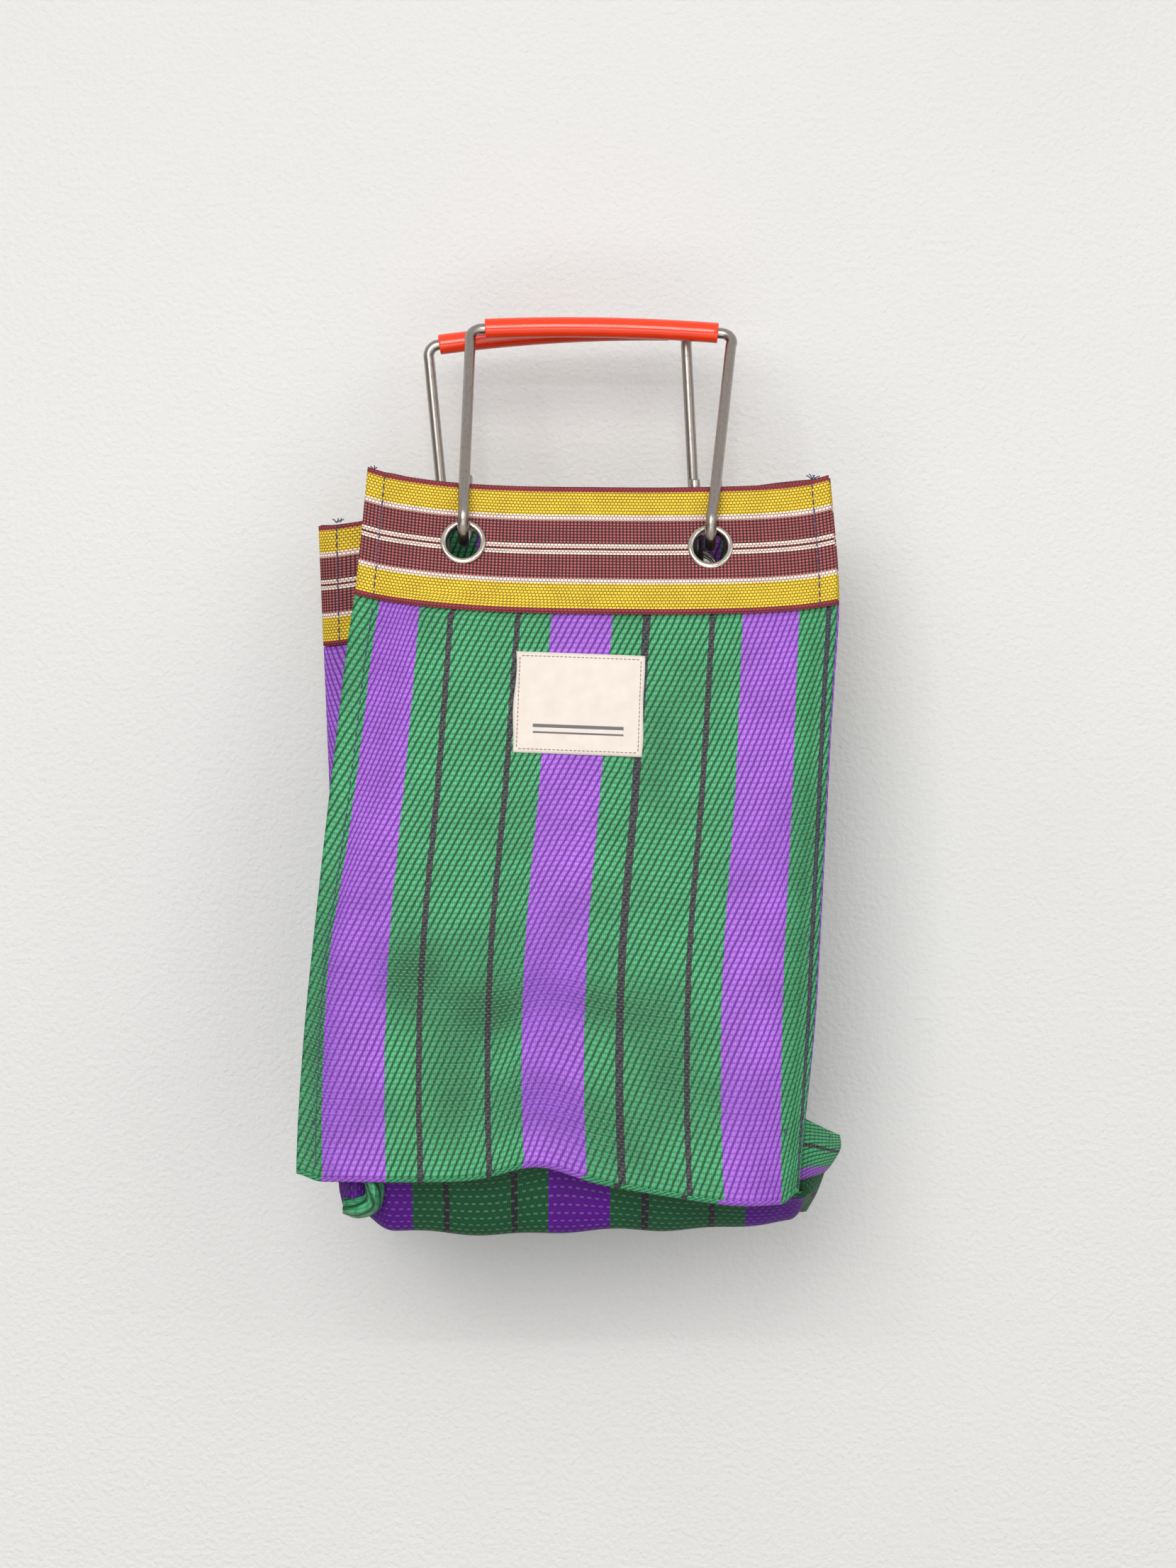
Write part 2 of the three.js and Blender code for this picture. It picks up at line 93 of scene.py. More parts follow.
class BagSizes(bpy.types.PropertyGroup):
    cloth: length("Cloth", "Thickness of the woven cloth", 0.9)
    webbing: length("Webbing", "Thickness of the mouth band", 1.6)
    band_height: length("Band height", "Mouth band, top edge to bottom edge", 53.0)
    seam_inset: length("Seam inset", "Pinch seam, in from each upright edge", 8.0)
    stripe_repeat: length("Stripe repeat", "One full set of stripes", 80.0)
    thread: length("Thread", "Radius of the sewing thread", 0.3)
    stitch: length("Stitch", "Length of one stitch with its gap", 3.4)
    hem: length("Hem", "Radius of the rolled hem", 1.0)
    bottom_shift: length("Bottom shift", "How far the loose bottom has slipped to the right", 9.4)
    gusset_fold: length("Gusset fold", "How deep a side folds in at the mouth", 38.0)


class BagColours(bpy.types.PropertyGroup):
    # Cloth yarns: lit colour on the floats, and a darker copy, the same yarn in painted shade.
    green: colour("Green", "Green yarn where it lies on top", "#53b87f")
    green_dark: colour("Green ground", "Green yarn between the floats", "#0a4826")
    purple: colour("Purple", "Purple yarn where it lies on top", "#b974df")
    purple_dark: colour("Purple ground", "Purple yarn between the floats", "#64289a")
    black: colour("Black", "Black yarn where it lies on top", "#414145")
    black_dark: colour("Black ground", "Black yarn between the floats", "#17171a")
    yellow: colour("Yellow", "Yellow of the webbing", "#efcc33")
    maroon: colour("Maroon", "Maroon of the webbing", "#a04046")
    white: colour("White", "White lines of the webbing", "#efe3d6")
    grip: colour("Grip", "Soft plastic tube of the grips", "#f23c14")
    steel: colour("Steel", "Bare steel wire", "#a59d96")
    nickel: colour("Nickel", "Plating of the eyelets", "#c9c1b5")
    label: colour("Label", "Cotton label", "#dfd4ca")
    thread: colour("Thread", "Sewing thread", "#23264a")


class StageSettings(bpy.types.PropertyGroup):
    wall: colour("Wall", "Pale wall behind the bag", "#dcdbd9")
    wall_gap: length("Wall gap", "From the back handle to the wall, for its swing", 39.0)
    light: bpy.props.FloatProperty(
        name="Light", description="Strength of the soft box above the front", default=27.5, min=0.0
    )
    ambient: bpy.props.FloatProperty(
        name="Ambient", description="Strength of the even room light", default=0.67, min=0.0
    )


# ---- small numbers -------------------------------------------------------------------------

def smooth(x, low, high):
    """0 below low, 1 above high, and an even curve between."""
    t = np.clip((np.asarray(x, float) - low) / (high - low), 0.0, 1.0)
    return t * t * (3.0 - 2.0 * t)


def soft_curve(v, points):
    """Value along a few points, with the corners rounded off."""
    at, values = zip(*points)
    reach = np.linspace(-0.05, 0.05, 9)
    v = np.asarray(v, float)[..., None] + reach
    inside = np.interp(v, at, values)
    first = (values[1] - values[0]) / (at[1] - at[0])
    last = (values[-1] - values[-2]) / (at[-1] - at[-2])
    inside += np.minimum(v - at[0], 0.0) * first + np.maximum(v - at[-1], 0.0) * last
    return inside.mean(-1)


def mix(a, b, t):
    return a + (b - a) * t


# ---- handles, in millimetres ---------------------------------------------------------------

HANDLE_HEIGHT = 99.4
HANDLE_WIDTH = 111.0
GRIP_LENGTH = 99.0
GRIP_BOW = 1.9
GRIP_R = 4.3
WIRE_R = 2.3
CORNER_R = 5.0
HOOK_GAP = 18.0
HOOK_R = 7.0
HOOK_LENGTH = 36.0
EYELET_R = 9.45
EYELET_BORE = 6.5
EYELET_CUT = 7.9
WIRE_RIDE = 3.1


class Handle:
    """Where a handle hangs and leans. a runs across, b up from the eyelets, c outwards."""

    def __init__(self, side, joint, lean, tilt, foot_slope, grip_slope, foot_width):
        self.side = side
        self.pivot = np.array(JOINTS[joint]["pos_m"], float) / MM
        self.slopes = (math.radians(foot_slope), math.radians(grip_slope))
        self.foot_width = foot_width
        lean, tilt = math.radians(lean), math.radians(tilt)
        self.up = np.array(
            (math.sin(lean), math.cos(lean) * math.sin(tilt), math.cos(lean) * math.cos(tilt))
        )
        self.out = np.array((0.0, -side * math.cos(tilt), side * math.sin(tilt)))

    def foot(self, sign):
        """Where a foot stands across the handle; the right one is bent a little further in."""
        return sign * self.foot_width / 2 - (1.6 if sign > 0 else 0.0)

    def at(self, a, b, c):
        slope = mix(self.slopes[0], self.slopes[1], b / HANDLE_HEIGHT)
        across = np.array((math.cos(slope), 0.0, math.sin(slope)))
        return self.pivot + self.up * b + self.out * c + across * a

    def grip_point(self, a):
        reach = HANDLE_WIDTH / 2 - CORNER_R
        return self.at(a, HANDLE_HEIGHT + GRIP_BOW * (1 - (a / reach) ** 2), HOOK_GAP / 2)


HANDLES = {
    "front": Handle(1, "front_handle_swing", 3.15, 28.6, -1.1, -1.04, 103.0),
    "back": Handle(-1, "back_handle_swing", -4.6, -4.5, 1.6, 3.4, 108.8),
}


# ---- walls, in millimetres -----------------------------------------------------------------

FRONT_CLOTH = 214.0       # cloth across the front wall, with what turns back at its corners
BACK_CLOTH = 200.0
BAND_SHARE = 0.18         # of the way from the mouth edge down to the bottom edge
BAND_DOWN = 53.0          # cloth from the mouth edge to the band's lower edge
CLOTH_DOWN = 236.0        # cloth from there to the bottom edge
BAG_HEIGHT = 288.0
BAND_TILT = math.tan(math.radians(14.4))
LAYER = 1.55              # webbing mid-plane to the cloth behind it
FRONT_PIVOT = HANDLES["front"].pivot
BACK_PIVOT = HANDLES["back"].pivot


def front_edges(v):
    """Left and right edge of the front wall at v, from the mouth (0) to the bottom (1)."""
    left = soft_curve(v, [(0, -83.2), (0.17, -87.0), (0.25, -91.0), (0.45, -96.6), (0.62, -101.2),
                          (0.78, -105.4), (0.93, -107.8), (1, -108.0)])
    right = soft_curve(v, [(0, 107.6), (0.16, 110.8), (0.35, 106.6), (0.55, 103.0),
                           (0.77, 99.2), (0.93, 94.2), (1, 92.2)])
    return left, right


def front_stripe(v):
    """Where the middle of the second purple stripe runs."""
    return soft_curve(v, [(0, 9.0), (0.21, 5.1), (0.45, 0.6), (0.56, -2.4), (0.68, -5.0),
                          (0.8, -6.0), (0.92, -5.9), (1, -4.9)])


def front_heights(u):
    """Mouth edge, lower edge of the band and bottom edge across the front wall."""
    mouth = -68.0 + 9.4 * np.exp(-u / 0.13) + 5.8 * np.exp(-(1 - u) / 0.09)
    band = -121.0 + 9.0 * np.exp(-u / 0.16) + 4.6 * u ** 9
    low = -346.6 - 9.6 * smooth(u, 0.5, 0.92) + 5.6 * np.exp(-(((u - 0.475) / 0.085) ** 2))
    low = low + 3.0 * (1 - smooth(u, 0.0, 0.05)) + 4.5 * smooth(u, 0.96, 1.0)
    return mouth, band, low


def front_depth(x, z):
    """How far forward the front cloth hangs at x and z: y of its middle layer."""
    v = np.clip((-63.0 - z) / BAG_HEIGHT, 0.0, 1.0)
    left, right = front_edges(v)
    tilted = FRONT_PIVOT[1] + (z - FRONT_PIVOT[2]) * BAND_TILT + LAYER
    foot_z = -118.0
    foot_y = FRONT_PIVOT[1] + (foot_z - FRONT_PIVOT[2]) * BAND_TILT + LAYER
    hanging = foot_y + (z - foot_z) * (foot_y + 87.05) / (foot_z + 350.0)
    y = mix(hanging, tilted, smooth(z, foot_z - 7.0, foot_z + 7.0))
    from_left, from_right = x - left, right - x
    turn_left = soft_curve(v, [(0, 3.5), (0.17, 4.0), (0.26, 9.0), (0.5, 6.0), (0.8, 3.0),
                               (1, 2.0)])
    turn_right = soft_curve(v, [(0, 3.0), (0.2, 3.5), (0.55, 5.0), (0.8, 7.0), (1, 9.0)])
    reach = mix(38.0, 30.0, smooth(z, -124.0, -112.0))
    y = y + turn_left * (1 - smooth(from_left, -2.0, reach)) ** 1.4
    y = y + turn_right * (1 - smooth(from_right, -2.0, 32.0)) ** 1.4
    loose = smooth(v, 0.2, 0.34)
    wave = 1.15 * np.sin(x / 29.0 + z / 64.0 + 0.6) * np.sin(z / 43.0 + 1.1)
    wave = wave + 0.5 * np.sin(x / 11.5 - z / 52.0) * np.sin(z / 71.0)
    wave = wave + 1.2 * np.exp(-(((x + 58.0) / 22.0) ** 2 + ((z + 285.0) / 30.0) ** 2))
    ripple = (0.5 * np.sin(x / 9.0 + 0.8) + 0.8 * np.exp(-(((x + 66.0) / 7.0) ** 2))) * (1 - loose)
    return y - wave * loose - ripple


def front_across(s, v):
    """x of cloth coordinate s at v: the corners turn back, so they look narrower."""
    left, right = front_edges(v)
    middle = front_stripe(v)
    near, far = middle - 53.5, middle + 53.5
    from_near = 50.25 - s
    lost = 50.25 - (near - left)
    tight = smooth(v, 0.3, 0.75)
    pulled = smooth(from_near, mix(8.0, 34.0, tight), mix(44.0, 50.0, tight))
    at_left = near - from_near + lost * pulled
    span = FRONT_CLOTH - 157.25
    from_far = np.maximum(s - 157.25, 0.0)
    gone = span - (right - far)
    at_right = far + from_far - gone * (from_far / span) ** mix(0.85, 4.2, smooth(v, 0.1, 0.9))
    between = near + (s - 50.25) * (far - near) / 107.0
    x = np.where(s < 50.25, at_left, np.where(s > 157.25, at_right, between))
    plain = left + (right - left) * s / FRONT_CLOTH
    return mix(plain, x, smooth(v, BAND_SHARE - 0.03, BAND_SHARE + 0.01))


def pinch(edge):
    """The seam pulls the cloth in a little where the thread runs, given the way from the edge."""
    return 0.7 * np.exp(-(((edge - 8.0) / 1.6) ** 2))


def front_point(s, v, out=0.0):
    """Point of the front wall's cloth; out lifts it off towards the viewer."""
    s, v = np.broadcast_arrays(np.asarray(s, float), np.asarray(v, float))
    x = front_across(s, v)
    left, right = front_edges(v)
    u = (x - left) / (right - left)
    mouth, band, low = front_heights(np.clip(u, 0, 1))
    above = mix(mouth, band, v / BAND_SHARE)
    below = mix(band, low, (v - BAND_SHARE) / (1 - BAND_SHARE))
    z = np.where(v < BAND_SHARE, above, below)
    y = front_depth(x, z) + pinch(s) + pinch(FRONT_CLOTH - s) - out
    return np.stack((x, y, z), -1)


def back_point(s, v, out=0.0):
    """Point of the back wall's cloth, s from its left edge as seen from the front."""
    s, v = np.broadcast_arrays(np.asarray(s, float), np.asarray(v, float))
    u = s / BACK_CLOTH
    x = BACK_PIVOT[0] - 9.2 + 9.7 * v + (u - 0.5) * (BACK_CLOTH - 4 * v)
    z = BACK_PIVOT[2] + 21.5 - BAG_HEIGHT * v - mix(5.6, 6.0, v) * (0.5 - u)
    z = z - 1.2 * np.sin(math.pi * u) * (1 - v)
    y = BACK_PIVOT[1] - LAYER
    wave = 0.5 * np.sin(x / 23.0 + z / 58.0) * np.sin(z / 47.0) * smooth(v, 0.2, 0.34)
    turned = 1.5 * (1 - smooth(np.minimum(s, BACK_CLOTH - s), 0, 22))
    y = y - wave - pinch(s) - pinch(BACK_CLOTH - s) - turned
    return np.stack((x, y + out, z), -1)


def cloth_down(v):
    """Millimetres of cloth from the mouth edge down to v."""
    v = np.asarray(v, float)
    below = BAND_DOWN + (v - BAND_SHARE) / (1 - BAND_SHARE) * CLOTH_DOWN
    return np.where(v < BAND_SHARE, v / BAND_SHARE * BAND_DOWN, below)


# ---- mesh builders -------------------------------------------------------------------------

def new_object(name, vertices, faces, uv=None, smooth_faces=None):
    """Mesh object from points in millimetres; uv gives each point's place on the flat cloth."""
    mesh = bpy.data.meshes.new(name)
    mesh.from_pydata((np.asarray(vertices, float) * MM).tolist(), [], faces)
    if uv is not None:
        layer = mesh.uv_layers.new(name="cloth")
        corners = np.zeros(len(mesh.loops), dtype=np.int32)
        mesh.loops.foreach_get("vertex_index", corners)
        at = np.asarray(uv, float)[corners] * MM
        layer.data.foreach_set("uv", at.astype(np.float32).ravel())
    flags = np.ones(len(mesh.polygons), dtype=bool) if smooth_faces is None else smooth_faces
    mesh.polygons.foreach_set("use_smooth", flags)
    mesh.validate()
    mesh.update()
    made = bpy.data.objects.new(name, mesh)
    bpy.context.scene.collection.objects.link(made)
    return made


def cloth_sheet(name, points, flat, thickness, outward, keep=None):
    """A grid of points thickened to both sides, closed round its edges and its holes.

    points and flat are arrays of rows and columns. outward is a rough direction of the good side.
    """
    down = np.gradient(points, axis=0)
    along = np.gradient(points, axis=1)
    normal = np.cross(down, along)
    normal /= np.maximum(np.linalg.norm(normal, axis=-1, keepdims=True), 1e-9)
    flip = np.mean(normal @ np.asarray(outward, float)) < 0
    if flip:
        normal = -normal
    rows, cols = points.shape[0] - 1, points.shape[1] - 1
    if keep is None:
        keep = np.ones((rows, cols), dtype=bool)
    half = points.shape[0] * points.shape[1]
    lift = normal * thickness / 2
    vertices = np.concatenate(((points + lift).reshape(-1, 3), (points - lift).reshape(-1, 3)))
    uv = np.concatenate((flat.reshape(-1, 2), flat.reshape(-1, 2)))
    faces, round_ok = [], []

    def put(corners, is_smooth):
        faces.append(corners if not flip else corners[::-1])
        round_ok.append(is_smooth)

    def kept(i, j):
        return 0 <= i < rows and 0 <= j < cols and keep[i, j]

    for i in range(rows):
        for j in range(cols):
            if not keep[i, j]:
                continue
            a = i * (cols + 1) + j
            b, c, d = a + cols + 1, a + cols + 2, a + 1
            put((a, b, c, d), True)
            put((d + half, c + half, b + half, a + half), True)
            if not kept(i, j - 1):
                put((b, a, a + half, b + half), False)
            if not kept(i + 1, j):
                put((c, b, b + half, c + half), False)
            if not kept(i, j + 1):
                put((d, c, c + half, d + half), False)
            if not kept(i - 1, j):
                put((a, d, d + half, a + half), False)
    used = np.unique(np.concatenate([np.asarray(f) for f in faces]))
    number = np.full(len(vertices), -1)
    number[used] = np.arange(len(used))
    faces = [tuple(int(number[k]) for k in f) for f in faces]
    return new_object(name, vertices[used], faces, uv[used], np.array(round_ok))


def turning_frames(path):
    """Directions along a path and two square to it that don't twist."""
    along = np.gradient(path, axis=0)
    along /= np.linalg.norm(along, axis=1, keepdims=True)
    first = np.cross(along[0], (0.0, 0.0, 1.0))
    if np.linalg.norm(first) < 0.2:
        first = np.cross(along[0], (0.0, 1.0, 0.0))
    side = [first / np.linalg.norm(first)]
    for k in range(1, len(path)):
        s = side[-1] - along[k] * np.dot(side[-1], along[k])
        side.append(s / np.linalg.norm(s))
    side = np.array(side)
    return along, side, np.cross(along, side)


def tube(name, path, radius, sides, bore=0.0, rounded=0.0):
    """Round bar along a path, or a tube with a bore. rounded eases its ends."""
    path = np.asarray(path, float)
    radius = np.broadcast_to(np.asarray(radius, float), len(path))
    along, side, other = turning_frames(path)
    reach = np.concatenate(((0.0,), np.cumsum(np.linalg.norm(np.diff(path, axis=0), axis=1))))
    vertices, faces, uv = [], [], []
    angle = 2 * math.pi * np.arange(sides) / sides

    def ring(k, r, shift=0.0):
        start = len(vertices)
        for a in angle:
            turned = (side[k] * math.cos(a) + other[k] * math.sin(a)) * r
            vertices.append(path[k] + along[k] * shift + turned)
            uv.append((reach[k] + shift, a * GRIP_R))
        return start

    def join(a, b):
        for i in range(sides):
            j = (i + 1) % sides
            faces.append((a + i, a + j, b + j, b + i))

    rings = []
    if rounded:
        rings.append(ring(0, radius[0] - rounded))
        rings.append(ring(0, radius[0] - rounded * 0.3, rounded * 0.3))
    for k in range(len(path)):
        shift = rounded if k == 0 else -rounded if k == len(path) - 1 else 0.0
        rings.append(ring(k, radius[k], shift))
    if rounded:
        rings.append(ring(len(path) - 1, radius[-1] - rounded * 0.3, -rounded * 0.3))
        rings.append(ring(len(path) - 1, radius[-1] - rounded))
    for a, b in zip(rings, rings[1:]):
        join(a, b)
    if bore:
        inner = [ring(k, bore) for k in range(len(path) - 1, -1, -1)]
        for a, b in zip([rings[-1]] + inner, inner + [rings[0]]):
            join(a, b)
    else:
        for last, back in ((rings[0], True), (rings[-1], False)):
            cap = tuple(range(last, last + sides))
            faces.append(cap[::-1] if back else cap)
    return new_object(name, vertices, faces, uv)


def stitches(name, path, normal, size, thread, raised=0.25):
    """A run of separate stitches along a path, each a short arched length of thread."""
    path = np.asarray(path, float)
    reach = np.concatenate(((0.0,), np.cumsum(np.linalg.norm(np.diff(path, axis=0), axis=1))))
    count = max(int(reach[-1] / size), 1)
    step = reach[-1] / count
    normal = np.asarray(normal, float)
    vertices, faces, uv = [], [], []
    rings, sides = 5, 6

    def place(d):
        return np.array([np.interp(d, reach, path[:, k]) for k in range(3)])

    for n in range(count):
        d0, d1 = n * step + step * 0.1, (n + 1) * step - step * 0.1
        line = [place(mix(d0, d1, k / (rings - 1))) for k in range(rings)]
        way = (line[-1] - line[0]) / np.linalg.norm(line[-1] - line[0])
        across = np.cross(way, normal)
        across /= np.linalg.norm(across)
        base = len(vertices)
        for k, p in enumerate(line):
            t = k / (rings - 1)
            arch = math.sin(math.pi * t)
            r = thread * (0.55 + 0.45 * arch ** 0.5)
            centre = p + normal * (raised * arch - thread * 0.5 * (1 - arch))
            for i in range(sides):
                a = 2 * math.pi * i / sides
                vertices.append(centre + across * math.cos(a) * r + normal * math.sin(a) * r)
                uv.append((d0 + t * (d1 - d0), a))
        for k in range(rings - 1):
            for i in range(sides):
                j = (i + 1) % sides
                a, b = base + k * sides, base + (k + 1) * sides
                faces.append((a + i, b + i, b + j, a + j))
        faces.append(tuple(base + i for i in range(sides)))
        last = base + (rings - 1) * sides
        faces.append(tuple(last + i for i in range(sides))[::-1])
    made = new_object(name, vertices, faces, uv)
    outwards(made)
    return made


def outwards(made):
    """Turns every face of a closed mesh outwards."""
    work = bmesh.new()
    work.from_mesh(made.data)
    bmesh.ops.recalc_face_normals(work, faces=work.faces)
    work.to_mesh(made.data)
    work.free()


def turned_ring(name, centre, axis, profile, steps):
    """Ring turned about an axis; the profile is a closed loop of (radius, height)."""
    axis = np.asarray(axis, float) / np.linalg.norm(axis)
    side = np.cross(axis, (1.0, 0.0, 0.0))
    side /= np.linalg.norm(side)
    other = np.cross(axis, side)
    vertices, faces, uv = [], [], []
    for k in range(steps):
        a = 2 * math.pi * k / steps
        for n, (r, h) in enumerate(profile):
            vertices.append(centre + axis * h + (side * math.cos(a) + other * math.sin(a)) * r)
            uv.append((a * EYELET_R, n))
    count = len(profile)
    for k in range(steps):
        for n in range(count):
            m, after = (n + 1) % count, (k + 1) % steps
            faces.append((k * count + n, k * count + m, after * count + m, after * count + n))
    made = new_object(name, vertices, faces, uv)
    outwards(made)
    return made


def join_meshes(name, parts):
    """One object from several, with every part's own place on the flat cloth kept."""
    with bpy.context.temp_override(active_object=parts[0], object=parts[0], selected_objects=parts,
                                   selected_editable_objects=parts):
        bpy.ops.object.join()
    parts[0].name = name
    return parts[0]


# ---- materials -----------------------------------------------------------------------------

def settings():
    scene = bpy.context.scene
    return scene.bag_sizes, scene.bag_colours, scene.bag_stage


def node(tree, kind, *inputs, **settings):
    """Adds a node. Its inputs come in order, or in one dictionary by place or name.

    Each input is a constant, a socket, or a node whose first output is meant.
    """
    made = tree.nodes.new("ShaderNode" + kind)
    for key, value in settings.items():
        setattr(made, key, value)
    named = inputs[0] if inputs and isinstance(inputs[0], dict) else dict(enumerate(inputs))
    for key, value in named.items():
        if isinstance(value, bpy.types.Node):
            value = value.outputs[0]
        if isinstance(value, bpy.types.NodeSocket):
            tree.links.new(value, made.inputs[key])
        else:
            made.inputs[key].default_value = value
    return made


def material(name, **shader):
    """New material with its shader's own sockets set, and the way to add nodes to it."""
    made = bpy.data.materials.new(name)
    made.use_nodes = True
    principled = made.node_tree.nodes["Principled BSDF"]
    for key, value in shader.items():
        principled.inputs[key.replace("_", " ")].default_value = value
    return made, partial(node, made.node_tree)


def surface(made, **looks):
    """Links what was worked out for a material to its shader: sockets, or nodes' first outputs."""
    tree = made.node_tree
    principled = tree.nodes["Principled BSDF"]
    for key, value in looks.items():
        source = value.outputs[0] if isinstance(value, bpy.types.Node) else value
        tree.links.new(source, principled.inputs[key.replace("_", " ")])
    return made


def hard_steps(ramp, stops):
    """Fills a colour ramp with hard steps, each a position and a colour, and gives its colour."""
    ramp.color_ramp.interpolation = "CONSTANT"
    elements = ramp.color_ramp.elements
    while len(elements) > 1:
        elements.remove(elements[-1])
    elements[0].position, elements[0].color = stops[0]
    for position, shade in stops[1:]:
        elements.new(position).color = shade
    return ramp.outputs["Color"]


def pulse(add, value, rise, full, fade, end):
    """1 between full and fade, with soft flanks."""
    up = add("MapRange", value, rise, full, 0.0, 1.0, interpolation_type="SMOOTHSTEP")
    down = add("MapRange", value, fade, end, 1.0, 0.0, interpolation_type="SMOOTHSTEP")
    return add("Math", up, down, operation="MULTIPLY")


def hump(add, value):
    """0 at both ends of 0 to 1 and 1 in the middle."""
    wide = add("Math", value, 2.0, -1.0, operation="MULTIPLY_ADD")
    edge = add("Math", add("Math", wide, operation="ABSOLUTE"), 2.2, operation="POWER")
    return add("Math", 1.0, edge, operation="SUBTRACT")


def speckle(add, place, scale, low, high, least, most, **detail):
    """Slow change over a surface: noise stretched so that low to high gives least to most."""
    named = {key.capitalize(): value for key, value in detail.items()}
    noise = add("TexNoise", {"Vector": place, "Scale": scale, **named})
    return add("MapRange", noise.outputs["Fac"], low, high, least, most)


YARN = 0.00078                # pitch of the upright yarns
TWILL = (0.0028, 0.0066)      # twill lines, across and down
FLOAT = 0.0022                # one float of a yarn with its gap
ROW_SLOPE = 0.000835714       # of a float from yarn to yarn: rows of floats are all but level
DASH = (0.0023, 0.0013)       # weft dashes that show between the floats, along and down
PLAIN_DASH = (0.0031, 0.00145)
RIB = (0.0016, 0.00125)       # ribs of the webbing, along and down
LABEL_WEAVE = 0.00045
STRIPES = [(0.0, "purple"), (25.2 / 80, "green"), (37.8 / 80, "black"), (40.3 / 80, "green"),
           (64.9 / 80, "black"), (67.4 / 80, "green")]
YES, NO = (1, 1, 1, 1), (0, 0, 0, 1)
# Where the stripes begin on each part, in millimetres, whether its weave is plain, and its depth of
# colour: under 1, on the bottom, its colour is darkened, a painted shade.
CLOTHS = {"front": (80.0 - 11.2, False, 1.0), "back": (14.0, False, 1.0),
          "left side": (2.0, False, 1.0), "right side": (8.0, False, 1.0),
          "bottom": (80.0 - 11.2, True, 0.55)}


